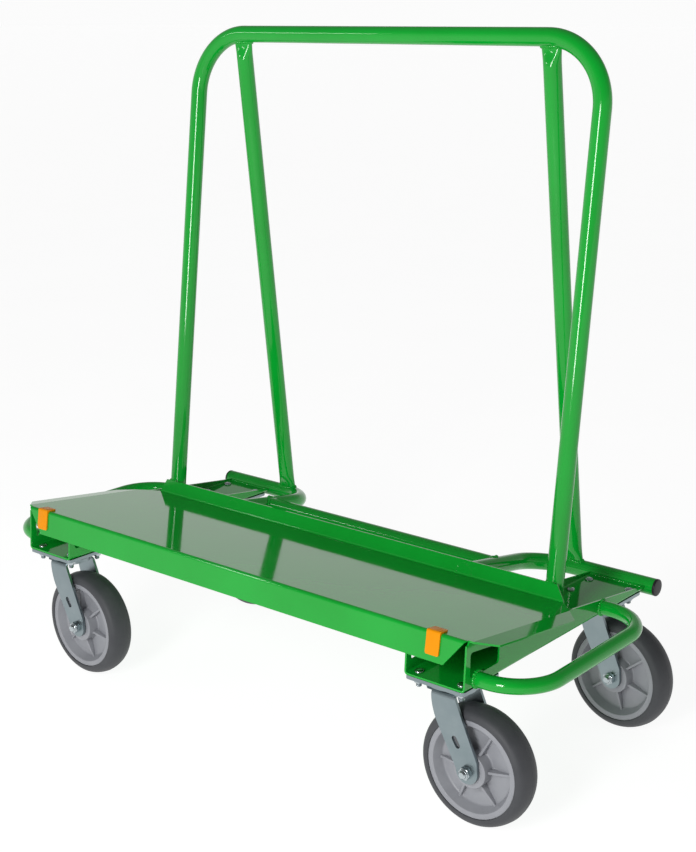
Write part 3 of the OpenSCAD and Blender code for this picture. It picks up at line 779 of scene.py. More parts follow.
@dataclass(frozen=True)
class CartSizes:
    """Driving sizes of the cart, in millimetres and degrees."""

    overall_depth: float = 602.0
    deck_run: float = 327.0
    deck_front_z: float = 327.0
    deck_slope: float = 7.7
    sheet_t: float = 3.0
    sheet_out_r: float = 6.0
    lip_h: float = 28.0
    channel_x: float = 459.0
    channel_w: float = 116.0
    web_z: float = 241.3
    channel_t: float = 3.2
    plate_t: float = 6.35
    tube_r: float = 15.875
    frame_width: float = 919.0
    frame_top_z: float = 1210.0
    back_lean: float = 6.5
    clip_t: float = 3.0
    clip_drop: float = 31.0
    rear_tube_z: float = 244.0
    rear_tube_end_x: float = 531.0
    loop_x: float = 283.0
    loop_rise: float = 10.0
    cross_forward: float = 149.0
    fork_w: float = 70.0

    @property
    def front_y(self) -> float:
        """Finds the front edge of the deck.

        Returns:
            Its place along Y, in millimetres.
        """
        slope = math.radians(self.deck_slope)
        low = self.clip_drop + self.sheet_out_r
        return self.clip_t * math.cos(slope) + low * math.sin(slope) - self.overall_depth / 2

    @property
    def rear_y(self) -> float:
        """Returns the line of the rear tubes."""
        return self.overall_depth / 2 - self.tube_r

    @property
    def web_top(self) -> float:
        """Returns the level of the channels' floors."""
        return self.web_z + self.channel_t

    @property
    def channel_out(self) -> float:
        """Returns the outer face of a channel."""
        return self.channel_x + self.channel_w / 2

    def on_deck(self, x: float, along: float, up: float) -> Vector:
        """Finds a place by its distances on the deck.

        Args:
            x: The distance across.
            along: The distance from the front edge.
            up: The distance above the deck.

        Returns:
            The place, in metres.
        """
        slope = math.radians(self.deck_slope)
        return spot(x, self.front_y + along * math.cos(slope) + up * math.sin(slope),
                    self.deck_front_z - along * math.sin(slope) + up * math.cos(slope))

    def on_frame(self, x: float, z: float) -> Vector:
        """Finds a place on the push frame's middle plane.

        Args:
            x: The distance across.
            z: The level.

        Returns:
            The place, in metres.
        """
        lean = math.radians(self.back_lean)
        touch = self.on_deck(0.0, self.deck_run + self.sheet_t, self.lip_h) / MM
        up = (z - touch.z + self.tube_r * math.sin(lean)) / math.cos(lean)
        return spot(x, touch.y + self.tube_r * math.cos(lean) + up * math.sin(lean), z)

    def on_loop(self, back: float, side: int) -> Vector:
        """Finds a place on a rear tube's forward branch.

        Args:
            back: The distance from the bend's corner.
            side: The end of the cart, -1 or 1.

        Returns:
            The place, in metres.
        """
        rise = math.radians(self.loop_rise)
        return spot(side * self.loop_x, self.rear_y - back * math.cos(rise),
                    self.rear_tube_z + back * math.sin(rise))

    @property
    def rail_y(self) -> float:
        """Returns the line of the push frame's top rail."""
        return self.on_frame(0.0, self.frame_top_z).y / MM


SIZES = CartSizes()
SIDES = {"left": -1, "right": 1}


@dataclass(frozen=True)
class Tubework:
    """The bent tubes: push frame, side handles, rear tubes and cross tube."""

    frame_bend_r: float = 114.3
    handle_r: float = 12.7
    handle_x: float = 614.5
    handle_z: float = 254.5
    handle_front: float = 32.0
    handle_span: float = 379.0
    handle_bend_r: float = 82.0
    loop_bend_r: float = 85.0
    loop_run: float = 300.0
    bend_steps: int = 40

    def bent(self, name: str, corners: list[Vector], radius: float, bend_r: float) -> bpy.types.Object:
        """Bends one tube.

        Args:
            name: The tube's name.
            corners: The corners of its line.
            radius: The tube's radius.
            bend_r: The radius of its bends.

        Returns:
            The tube.
        """
        return Bench.tube(name, rounded(corners, [bend_r] * len(corners), self.bend_steps), radius * MM)

    def push_frame(self) -> bpy.types.Object:
        """Bends the push frame and cuts it level on the channels.

        Returns:
            The push frame.
        """
        half = SIZES.frame_width / 2
        low = SIZES.web_top - SIZES.tube_r
        corners = [SIZES.on_frame(-half, low), SIZES.on_frame(-half, SIZES.frame_top_z),
                   SIZES.on_frame(half, SIZES.frame_top_z), SIZES.on_frame(half, low)]
        piece = self.bent("push_frame_tube", corners, SIZES.tube_r, self.frame_bend_r)
        Bench.slice_off(piece, spot(0.0, 0.0, SIZES.web_top), Vector((0.0, 0.0, -1.0)))
        return Bench.smooth(piece)

    def handle(self, name: str, side: int) -> bpy.types.Object:
        """Bends the looped handle of one side.

        Args:
            name: The handle's name.
            side: The end of the cart, -1 or 1.

        Returns:
            The handle.
        """
        near = SIZES.front_y + self.handle_front
        route = ((SIZES.channel_out, near), (self.handle_x, near),
                 (self.handle_x, near + self.handle_span), (SIZES.channel_out, near + self.handle_span))
        corners = [spot(side * x, y, self.handle_z) for x, y in route]
        return Bench.smooth(self.bent(name, corners, self.handle_r, self.handle_bend_r))

    def rear_tube(self, name: str, side: int) -> bpy.types.Object:
        """Bends the rear tube of one side and cuts it to the lip's back.

        Args:
            name: The tube's name.
            side: The end of the cart, -1 or 1.

        Returns:
            The tube.
        """
        end = spot(side * SIZES.rear_tube_end_x, SIZES.rear_y, SIZES.rear_tube_z)
        corners = [end, SIZES.on_loop(0.0, side), SIZES.on_loop(self.loop_run, side)]
        piece = self.bent(name, corners, SIZES.tube_r, self.loop_bend_r)
        lip = SIZES.on_deck(0.0, SIZES.deck_run + SIZES.sheet_t, 0.0)
        Bench.slice_off(piece, lip, lip - SIZES.on_deck(0.0, SIZES.deck_run + 2 * SIZES.sheet_t, 0.0))
        return Bench.smooth(piece)

    def cross_tube(self) -> bpy.types.Object:
        """Makes the straight tube between the rear tubes.

        Returns:
            The tube.
        """
        far = SIZES.cross_forward / math.cos(math.radians(SIZES.loop_rise))
        inset = Vector((SIZES.tube_r * MM / 2, 0.0, 0.0))
        ends = [SIZES.on_loop(far, -1) + inset, SIZES.on_loop(far, 1) - inset]
        return Bench.smooth(Bench.tube("cross_tube_rod", ends, SIZES.tube_r * MM))

    def build(self, wardrobe: Wardrobe) -> None:
        """Builds all the tubes.

        Args:
            wardrobe: The materials.
        """
        wardrobe.add(self.push_frame(), "frame", "frame_green", "push_frame")
        wardrobe.add(self.cross_tube(), "frame", "frame_green", "cross_tube")
        for word, side in SIDES.items():
            handle = self.handle(f"side_handle_{word}", side)
            wardrobe.add(handle, "frame", "frame_green", f"handle_{word}")
            rear = self.rear_tube(f"rear_bent_tube_{word}", side)
            wardrobe.add(rear, "frame", "frame_green", f"rear_tube_{word}")


@dataclass(frozen=True)
class Brace:
    """A straight brace whose ends are pressed flat and hollowed."""

    foot_x: float = 360.0
    top_x: float = 350.0
    press_w: float = 40.0
    press_t: float = 17.0
    press_len: float = 32.0
    hollow: float = 3.2
    hollow_w: float = 9.0
    seat_sink: float = 1.0
    sides: int = 48
    rings: int = 24
    body_rings: int = 6

    def line(self, side: int) -> tuple[Vector, Vector]:
        """Returns the brace's foot and head."""
        return (spot(side * self.foot_x, SIZES.rear_y, SIZES.rear_tube_z),
                spot(side * self.top_x, SIZES.rail_y, SIZES.frame_top_z))

    def axes(self, side: int) -> Matrix:
        """Finds a brace's place.

        Args:
            side: The end of the cart, -1 or 1.

        Returns:
            The place, with Z along the brace and Y across its pressed ends.
        """
        foot, head = self.line(side)
        way = (head - foot).normalized()
        deep = Vector((0.0, 0.0, 1.0)).cross(way).cross(way).normalized()
        wide = way.cross(deep)
        return Matrix.Translation(foot) @ Matrix((deep, wide, way)).transposed().to_4x4()

    def pressed(self, at: Vector, share: float) -> Vector:
        """Presses one point of the round tube.

        Args:
            at: The point across the tube, in millimetres.
            share: How far the press has closed, from 0 to 1.

        Returns:
            The point after the press.
        """
        ease = smooth_step(share)
        x = at.x * (1.0 + (self.press_t / 2 / SIZES.tube_r - 1.0) * ease)
        y = at.y * (1.0 + (self.press_w / 2 / SIZES.tube_r - 1.0) * ease)
        dent = self.hollow * ease * math.exp(-(y / self.hollow_w) ** 2)
        return Vector((x - math.copysign(min(dent, abs(x)), x), y, 0.0))

    def build_one(self, name: str, side: int) -> bpy.types.Object:
        """Builds one brace.

        Args:
            name: The brace's name.
            side: The end of the cart, -1 or 1.

        Returns:
            The brace.
        """
        foot, head = self.line(side)
        size = (head - foot).length / MM
        start = SIZES.tube_r + self.press_len
        first = SIZES.tube_r / 2
        bend = [first + (start - first) * k / self.rings for k in range(self.rings + 1)]
        body = [start + (size - 2 * start) * k / self.body_rings for k in range(1, self.body_rings)]
        levels = bend + body + [size - z for z in reversed(bend)]
        piece = Bench.tube(name, [spot(0.0, 0.0, z) for z in levels], SIZES.tube_r * MM, sides=self.sides)
        for vertex in piece.data.vertices:
            at = vertex.co / MM
            near = min(at.z, size - at.z)
            share = max(0.0, min(1.0, (start - near) / self.press_len))
            new = self.pressed(at, share)
            seat = math.sqrt(max(SIZES.tube_r ** 2 - new.x ** 2, 0.0)) - self.seat_sink
            level = near + (max(near, seat) - near) * share
            new.z = level if at.z < size / 2 else size - level
            vertex.co = new * MM
        piece.data.transform(self.axes(side))
        return Bench.smooth(piece)

    def build(self, wardrobe: Wardrobe) -> None:
        """Builds both braces.

        Args:
            wardrobe: The materials.
        """
        for word, side in SIDES.items():
            brace = self.build_one(f"pressed_brace_{word}", side)
            wardrobe.add(brace, "frame", "frame_green", f"brace_{word}")


class CasterPlaces:
    """Where each caster's swivel and axle stand, from the frame's joints."""

    def __init__(self) -> None:
        """Reads the joints."""
        self.joints = {joint["child"]: joint for joint in frame["joints"]}

    def swivel(self, corner: Corner) -> Vector:
        """Returns a swivel's place."""
        return Vector(self.joints[f"swivel_{corner.value}"]["pos_m"])

    def axle(self, corner: Corner) -> Matrix:
        """Finds an axle's place.

        Args:
            corner: The caster's corner.

        Returns:
            The place, with Z out of the fork's front, X ahead of the swivel and Y up.
        """
        joint = self.joints[f"wheel_{corner.value}"]
        out = -Vector(joint["axis"]).normalized()
        up = Vector((0.0, 0.0, 1.0))
        turned = Matrix((up.cross(out), up, out)).transposed().to_4x4()
        return Matrix.Translation(Vector(joint["pos_m"])) @ turned


@dataclass(frozen=True)
class SheetMetal:
    """The deck, the channels, the mounting plates and the forks, with their edges eased."""

    deck_edge: float = 0.7
    channel_edge: float = 0.6
    plate_edge: float = 0.8
    fork_edge: float = 1.0
    sheet_crease: float = 4.0
    plate_crease: float = 24.0
    race_top_r: float = 43.4
    race_low_r: float = 41.0
    race_in_r: float = 37.5
    race_h: float = 7.5
    race_edge_r: float = 1.2
    race_steps: int = 5
    race_faces: int = 72
    fork_top: float = 125.35
    fork_reach: float = 160.0
    shoulder_r: float = 14.0
    shoulder_steps: int = 14
    heel_at: tuple[float, float] = (-69.0, 88.0)
    heel_slack: float = 1.0
    heel_round: float = 20.0
    heel_steps: int = 10
    slot_at: tuple[float, float] = (-21.5, 45.0)
    slot_len: float = 21.6
    slot_w: float = 9.4
    slot_slant: float = 57.0
    slot_round_share: float = 0.48

    def eased(self, node: str, name: str, width: float, crease: float) -> bpy.types.Object:
        """Returns a copy of a node with eased edges.

        Args:
            node: The CAD node.
            name: The copy's name.
            width: The width of the eased edge.
            crease: The least angle of a crease that stays sharp.

        Returns:
            The copy.
        """
        piece = Bench.from_node(node, name)
        Bench.soften(piece, width)
        return Bench.smooth(piece, crease, flats=True)

    def pressed_race(self, at: Vector) -> bpy.types.Object:
        """Returns the pressed ring under a plate that covers its balls.

        Args:
            at: The swivel's place.

        Returns:
            The ring.
        """
        top = SIZES.web_z - SIZES.plate_t
        low = top - self.race_h
        wall = self.race_top_r - self.race_low_r
        rim = ((self.race_in_r, top), (self.race_top_r, top), (self.race_low_r, top - 2 * wall),
               (self.race_low_r, low), (self.race_in_r, low))
        rounds = [0.0, 0.0, wall, self.race_edge_r, 0.0]
        profile = rounded(profile_of(rim), rounds, self.race_steps, closed=True)
        ring = Bench.turned("pressed_race", profile, self.race_faces, closed=True)
        ring.data.transform(Matrix.Translation((at.x, at.y, 0.0)))
        return Bench.smooth(ring)

    def slot_punch(self) -> bpy.types.Object:
        """Makes the punch for the slots in a fork's legs.

        Returns:
            The punch, placed from the axle.
        """
        slant = math.radians(self.slot_slant)
        along = Vector((math.cos(slant), -math.sin(slant), 0.0)) * (self.slot_len * MM / 2)
        across = Vector((math.sin(slant), math.cos(slant), 0.0)) * (self.slot_w * MM / 2)
        at = spot(*self.slot_at, -self.fork_reach)
        corners = [at + along + across, at + along - across, at - along - across, at - along + across]
        rim = rounded(corners, [self.slot_w * self.slot_round_share] * len(corners), closed=True)
        return Bench.slab("slot_punch", rim, spot(0.0, 0.0, 2 * self.fork_reach))

    def fork(self, corner: Corner, places: CasterPlaces) -> bpy.types.Object:
        """Returns one fork with its heels and shoulders pressed round.

        Args:
            corner: The caster's corner.
            places: Where the casters stand.

        Returns:
            The fork.
        """
        piece = Bench.from_node(f"fork_{corner.value}", f"caster_fork_{corner.value}")
        axle = places.axle(corner)
        to_axle = axle.inverted()
        heel = Vector(self.heel_at) * MM

        def at_heel(a: Vector, b: Vector) -> bool:
            """Tells whether an edge crosses a leg at its heel."""
            return all(((to_axle @ end).xy - heel).length < self.heel_slack * MM for end in (a, b))

        Bench.round_edges(piece, self.heel_round, self.heel_steps, at_heel)
        half, reach = SIZES.fork_w / 2, self.fork_reach
        rim = ((-half, -reach), (half, -reach), (half, self.fork_top), (-half, self.fork_top))
        rounds = [0.0, 0.0, self.shoulder_r, self.shoulder_r]
        outline = rounded([spot(-reach, y, z) for z, y in rim], rounds, self.shoulder_steps, closed=True)
        press = Bench.slab("shoulder_press", outline, spot(2 * reach, 0.0, 0.0))
        for tool, how in ((press, Join.KEEP), (self.slot_punch(), Join.CUT)):
            tool.data.transform(axle)
            Bench.work(piece, tool, how)
        Bench.soften(piece, self.fork_edge)
        return Bench.smooth(piece, flats=True)

    def build(self, wardrobe: Wardrobe, places: CasterPlaces) -> None:
        """Builds all the sheet metal.

        Args:
            wardrobe: The materials.
            places: Where the casters stand.
        """
        deck = self.eased("deck_plate", "deck_sheet", self.deck_edge, self.sheet_crease)
        wardrobe.add(deck, "frame", "frame_green", "deck_plate")
        for word in SIDES:
            node = f"channel_{word}"
            channel = self.eased(node, f"end_channel_{word}", self.channel_edge, self.sheet_crease)
            wardrobe.add(channel, "frame", "frame_green", node)
        for corner in Corner:
            name = f"mounting_plate_{corner.value}"
            plate = self.eased(f"plate_{corner.value}", name, self.plate_edge, self.plate_crease)
            plate = Bench.joined([plate, self.pressed_race(places.swivel(corner))], name)
            wardrobe.add(plate, "frame", "zinc_plate", f"plate_{corner.value}")
            fork = self.fork(corner, places)
            wardrobe.add(fork, f"swivel_{corner.value}", "zinc_plate", f"fork_{corner.value}")


@dataclass(frozen=True)
class Wheel:
    """A moulded hub with tapered ribs inside a round-shouldered tyre."""

    wheel_r: float = 101.6
    tyre_w: float = 50.8
    tread_r: float = 40.0
    shoulder_r: float = 13.0
    bead_step: float = 2.0
    wall_edge: float = 0.8
    seam_h: float = 0.3
    seam_w: float = 0.7
    seam_taper: float = 3.0
    shoulder_steps: int = 8
    tread_steps: int = 16
    hub_r: float = 82.7
    rim_w: float = 47.6
    rim_in_r: float = 73.5
    dish_r: float = 65.5
    web_t: float = 12.0
    boss_r: float = 30.0
    boss_len: float = 55.6
    bearing_r: float = 15.0
    hub_rounds: tuple[float, ...] = (0.6, 1.4, 3.0, 5.0, 1.6, 0.8)
    hub_steps: int = 5
    rib_t: float = 4.5
    rib_count: int = 6
    rib_inset: float = 4.0
    rib_end_inset: float = 13.0
    rib_edge: float = 0.9
    rib_edge_faces: int = 3
    faces: int = 96
    turns: tuple[tuple[Corner, float], ...] = (
        (Corner.FRONT_LEFT, 17.0), (Corner.FRONT_RIGHT, -4.0),
        (Corner.REAR_LEFT, 15.0), (Corner.REAR_RIGHT, 21.0))

    def hub_pattern(self) -> bpy.types.Object:
        """Turns one hub and adds its ribs.

        Returns:
            The hub, on the Z axis.
        """
        half = ((self.bearing_r, self.boss_len / 2), (self.boss_r, self.boss_len / 2),
                (self.boss_r, self.web_t / 2), (self.dish_r, self.web_t / 2),
                (self.rim_in_r, self.rim_w / 2), (self.hub_r, self.rim_w / 2))
        rounds = [*self.hub_rounds, *reversed(self.hub_rounds)]
        profile = rounded(profile_of(both_sides(half)), rounds, self.hub_steps, closed=True)
        hub = Bench.turned("hub_pattern", profile, self.faces, closed=True)
        # Turned by half a face, so that no rib lies along the seam.
        hub.data.transform(about("Z", math.pi / self.faces))
        near, far = self.rim_w / 2 - self.rib_inset, self.rim_w / 2 - self.rib_end_inset
        root, tip = (self.bearing_r + self.boss_r) / 2, (self.rim_in_r + self.hub_r) / 2
        upper = ((root, near), (self.boss_r, near), (self.dish_r, far), (tip, far))
        side = [spot(r, -self.rib_t / 2, z) for r, z in both_sides(upper)]
        rib = Bench.slab("rib_pattern", side, spot(0.0, self.rib_t, 0.0))
        Bench.soften(rib, self.rib_edge, self.rib_edge_faces)
        for i in range(self.rib_count):
            turn = about("Z", math.tau * i / self.rib_count)
            Bench.work(hub, Bench.copied(rib, "rib", turn), Join.ADD)
        Bench.drop(rib)
        return Bench.smooth(hub)

    def tyre_pattern(self) -> bpy.types.Object:
        """Turns one tyre.

        Returns:
            The tyre, on the Z axis.
        """
        crest = self.wheel_r - self.seam_h
        core = crest - self.tread_r
        side = self.tyre_w / 2 - self.shoulder_r
        slant = math.asin(side / (self.tread_r - self.shoulder_r))
        round_x = core + (self.tread_r - self.shoulder_r) * math.cos(slant)
        wall = self.tyre_w / 2
        half = [(self.hub_r, self.rim_w / 2 - self.bead_step), (self.hub_r, wall - self.wall_edge),
                (self.hub_r + self.wall_edge, wall)]
        for k in range(self.shoulder_steps + 1):
            a = math.pi / 2 + (slant - math.pi / 2) * k / self.shoulder_steps
            half.append((round_x + self.shoulder_r * math.cos(a), side + self.shoulder_r * math.sin(a)))
        for k in range(1, self.tread_steps):
            a = slant * (1.0 - k / self.tread_steps)
            half.append((core + self.tread_r * math.cos(a), self.tread_r * math.sin(a)))
        half += [(crest, self.seam_w), (self.wheel_r, self.seam_w / self.seam_taper)]
        tyre = Bench.turned("tyre_pattern", profile_of(both_sides(half)), self.faces, closed=True)
        return Bench.smooth(tyre, ROUND_CREASE)

    def build(self, wardrobe: Wardrobe, places: CasterPlaces) -> None:
        """Builds the four wheels.

        Args:
            wardrobe: The materials.
            places: Where the casters stand.
        """
        hub, tyre = self.hub_pattern(), self.tyre_pattern()
        for corner, turn in self.turns:
            place = places.axle(corner) @ about("Z", math.radians(-turn))
            for pattern, stem, slot, node in ((hub, "ribbed_hub", "hub_grey", "hub"),
                                              (tyre, "smooth_tyre", "tyre_grey", "tyre")):
                piece = Bench.copied(pattern, f"{stem}_{corner.value}", place)
                wardrobe.add(piece, f"wheel_{corner.value}", slot, f"{node}_{corner.value}")
        Bench.drop(hub, tyre)


@dataclass(frozen=True)
class Fasteners:
    """Plate bolts and nuts, axle bolts and axle nuts."""

    bolt_d: float = 9.5
    bolt_tail: float = 7.5
    bolt_faces: int = 32
    bolt_turn: float = 37.0
    head_d: float = 16.0
    head_h: float = 4.5
    head_rim: float = 1.2
    head_edge: float = 0.4
    dome_steps: int = 10
    nut_flat: float = 14.3
    nut_h: float = 8.5
    nut_faces: int = 40
    nut_steps: int = 4
    flange_r: float = 8.9
    flange_t: float = 1.4
    flange_in: float = 0.5
    flange_rounds: tuple[float, ...] = (0.0, 0.3, 0.5, 0.2, 0.0)
    span_x: float = 83.0
    span_y: float = 65.0
    thread_pitch: float = 1.5
    thread_h: float = 0.5
    tip_in: float = 1.4
    tip_h: float = 1.0
    hex_sides: int = 6
    hex_drop_share: float = 0.75
    hex_in: float = 0.3
    hex_clear: float = 0.4
    hex_edge: float = 0.25
    hex_crease: float = 20.0
    limit_faces: int = 60
    axle_d: float = 12.7
    axle_flat: float = 19.0
    axle_nut_h: float = 11.0
    axle_head_h: float = 8.0
    axle_tail: float = 3.5
    axle_sink: float = 1.0
    axle_turn: float = 11.0
    axle_turn_step: float = 17.0
    collar_h: float = 2.6
    collar_in: float = 0.9
    collar_top_in: float = 1.4
    collar_top_h: float = 1.3
    collar_bore_gap: float = 0.1
    collar_rounds: tuple[float, ...] = (0.0, 0.5, 0.8, 0.8, 0.0)

    def threaded(self, radius: float, low: float, high: float) -> list[tuple[float, float]]:
        """Returns the profile of a threaded end from its tip up.

        Args:
            radius: The thread's outer radius.
            low: The level of the tip.
            high: The level at which the thread ends.

        Returns:
            Pairs of radius and level.
        """
        points = [(0.0, low), (radius - self.tip_in, low)]
        level = low + self.tip_h
        while level + self.thread_pitch < high:
            points += [(radius - self.thread_h, level), (radius, level + self.thread_pitch / 2)]
            level += self.thread_pitch
        last = min(level + self.thread_pitch / 2, high)
        return points + [(radius - self.thread_h, level), (radius, last)]

    def hexagon(self, name: str, flat: float, low: float, high: float) -> bpy.types.Object:
        """Makes a hexagon prism with turned-off corners at both ends.

        Args:
            name: The prism's name.
            flat: The width across its flats.
            low: The level of its lower face.
            high: The level of its upper face.

        Returns:
            The prism.
        """
        corner = flat / 2 / math.cos(math.pi / self.hex_sides)
        Bench.clear()
        bpy.ops.mesh.primitive_cylinder_add(
            vertices=self.hex_sides, radius=corner * MM, depth=(high - low) * MM,
            location=spot(0.0, 0.0, (low + high) / 2))
        prism = bpy.context.object
        prism.name = name
        bpy.ops.object.transform_apply(location=True, rotation=True, scale=True)
        drop = (corner - flat / 2) * self.hex_drop_share
        edge = flat / 2 - self.hex_in
        outer = corner + self.hex_clear
        limit = ((0.0, low), (edge, low), (outer, low + drop),
                 (outer, high - drop), (edge, high), (0.0, high))
        Bench.work(prism, Bench.turned("turned_limit", profile_of(limit), self.limit_faces), Join.KEEP)
        Bench.soften(prism, self.hex_edge, angle=self.hex_crease)
        return prism

    def plate_bolt(self) -> bpy.types.Object:
        """Turns one plate bolt.

        Returns:
            The bolt, head up, with the plane under its head at zero.
        """
        radius = self.head_d / 2
        dome = [(radius * math.cos(a), self.head_rim + (self.head_h - self.head_rim) * math.sin(a))
                for a in (math.pi / 2 * k / self.dome_steps for k in range(self.dome_steps))]
        low = -(SIZES.channel_t + SIZES.plate_t + self.nut_h + self.bolt_tail)
        profile = self.threaded(self.bolt_d / 2, low, low + self.nut_h + self.bolt_tail)
        profile += [(self.bolt_d / 2, 0.0), (radius - self.head_edge, 0.0), (radius, self.head_edge)]
        profile += dome + [(0.0, self.head_h)]
        bolt = Bench.turned("plate_bolt_pattern", profile_of(profile), self.bolt_faces)
        return Bench.smooth(bolt, ROUND_CREASE)

    def axle_bolt(self) -> bpy.types.Object:
        """Makes one axle bolt.

        Returns:
            The bolt on the Z axis, with its head behind.
        """
        radius = self.axle_d / 2
        face = SIZES.fork_w / 2
        high = face + self.axle_nut_h + self.axle_tail
        profile = [(r, -z) for r, z in self.threaded(radius, -high, -face)]
        profile += [(radius, -face - self.axle_sink), (0.0, -face - self.axle_sink)]
        shank = Bench.turned("axle_bolt_pattern", profile_of(profile), self.nut_faces)
        head = self.hexagon("axle_head", self.axle_flat, -face - self.axle_head_h, -face)
        return Bench.smooth(Bench.joined([shank, head], "axle_bolt_pattern"))

    def axle_nut(self) -> bpy.types.Object:
        """Makes one lock nut with its collar.

        Returns:
            The nut, on the Z axis.
        """
        low = SIZES.fork_w / 2
        top = low + self.axle_nut_h
        nut = self.hexagon("axle_nut_pattern", self.axle_flat, low, top - self.collar_h)
        outer, inner = self.axle_flat / 2 - self.collar_in, self.axle_d / 2 + self.collar_bore_gap
        ring = ((inner, low), (inner, top), (outer - self.collar_top_in, top),
                (outer, top - self.collar_top_h), (outer, low))
        profile = rounded(profile_of(ring), self.collar_rounds, self.nut_steps, closed=True)
        collar = Bench.turned("nut_collar", profile, self.nut_faces, closed=True)
        return Bench.smooth(Bench.joined([nut, collar], "axle_nut_pattern"))

    def plate_nut(self) -> bpy.types.Object:
        """Makes one flanged nut under the plate.

        Returns:
            The nut, with the channel's floor at zero.
        """
        top = -SIZES.channel_t - SIZES.plate_t
        nut = self.hexagon("plate_nut_pattern", self.nut_flat, top - self.nut_h, top)
        slope = self.flange_t + self.flange_r - self.nut_flat / 2
        skirt = ((0.0, top), (self.flange_r, top), (self.flange_r, top - self.flange_t),
                 (self.nut_flat / 2 - self.flange_in, top - slope), (0.0, top - slope))
        profile = rounded(profile_of(skirt), self.flange_rounds, self.nut_steps)
        flange = Bench.turned("nut_flange", profile, self.nut_faces)
        return Bench.smooth(Bench.joined([nut, flange], "plate_nut_pattern"))

    def spots(self, places: CasterPlaces) -> list[Vector]:
        """Finds the sixteen bolt places.

        Args:
            places: Where the casters stand.

        Returns:
            The places, on the channels' floors.
        """
        result = []
        for corner in Corner:
            at = places.swivel(corner)
            for sx in (-1, 1):
                for sy in (-1, 1):
                    shift = spot(sx * self.span_x / 2, sy * self.span_y / 2, 0.0)
                    result.append(Vector((at.x, at.y, SIZES.web_top * MM)) + shift)
        return result

    def build(self, wardrobe: Wardrobe, places: CasterPlaces) -> None:
        """Builds all the fasteners.

        Args:
            wardrobe: The materials.
            places: Where the casters stand.
        """
        bolt, nut = self.plate_bolt(), self.plate_nut()
        for pattern, name, node in ((bolt, "plate_bolts", "caster_bolts"),
                                    (nut, "plate_nuts", "caster_nuts")):
            copies = []
            for i, at in enumerate(self.spots(places)):
                turn = about("Z", math.radians(self.bolt_turn * i))
                copies.append(Bench.copied(pattern, f"{name}_{i}", Matrix.Translation(at) @ turn))
            wardrobe.add(Bench.joined(copies, name), "frame", "bright_steel", node)
        axle, lock = self.axle_bolt(), self.axle_nut()
        for i, corner in enumerate(Corner):
            turn = about("Z", math.radians(self.axle_turn + self.axle_turn_step * i))
            for pattern, stem, node in ((axle, "hex_axle_bolt", "axle_bolt"),
                                        (lock, "lock_nut", "axle_nut")):
                piece = Bench.copied(pattern, f"{stem}_{corner.value}", places.axle(corner) @ turn)
                wardrobe.add(piece, f"swivel_{corner.value}", "bright_steel", f"{node}_{corner.value}")
        Bench.drop(bolt, nut, axle, lock)


@dataclass(frozen=True)
class EdgeClips:
    """The plastic clips over the deck's front edge."""

    width: float = 26.0
    flap: float = 13.5
    corner_r: float = 3.6
    corner_steps: int = 6
    bend_r: float = 4.0
    bend_steps: int = 8
    edge: float = 0.5
    edge_faces: int = 3
    slack: float = 0.1
    places: tuple[float, ...] = (-472.0, 457.0)

    def pattern(self) -> bpy.types.Object:
        """Makes one clip.

        Returns:
            The clip, with X across, Y along and Z above the deck.
        """
        inner = SIZES.sheet_out_r
        low = -inner - SIZES.clip_drop
        reach = inner + self.flap
        thick = SIZES.clip_t
        rim = ((reach, 0.0), (0.0, 0.0), (0.0, low), (-thick, low), (-thick, thick), (reach, thick))
        bends = [0.0, inner, 0.0, 0.0, self.bend_r, 0.0]
        half = self.width / 2
        section = rounded([spot(-half, y, z) for y, z in rim], bends, self.bend_steps, closed=True)
        clip = Bench.slab("clip_pattern", section, spot(self.width, 0.0, 0.0))
        slack = self.slack * MM

        def at_corner(a: Vector, b: Vector) -> bool:
            """Tells whether an edge is a short one at a flap's corner."""
            on_side = abs(a.x) > half * MM - slack and abs(a.x - b.x) < slack
            return on_side and (max(a.z, b.z) < low * MM + slack or min(a.y, b.y) > reach * MM - slack)

        Bench.round_edges(clip, self.corner_r, self.corner_steps, at_corner)
        Bench.soften(clip, self.edge, self.edge_faces)
        return Bench.smooth(clip)

    def build(self, wardrobe: Wardrobe) -> None:
        """Builds both clips as one piece.

        Args:
            wardrobe: The materials.
        """
        clip = self.pattern()
        tilt = about("X", math.radians(-SIZES.deck_slope))
        copies = [Bench.copied(clip, f"clip_{i}", Matrix.Translation(SIZES.on_deck(x, 0.0, 0.0)) @ tilt)
                  for i, x in enumerate(self.places)]
        Bench.drop(clip)
        wardrobe.add(Bench.joined(copies, "orange_edge_clips"), "frame", "clip_orange", "edge_clips")


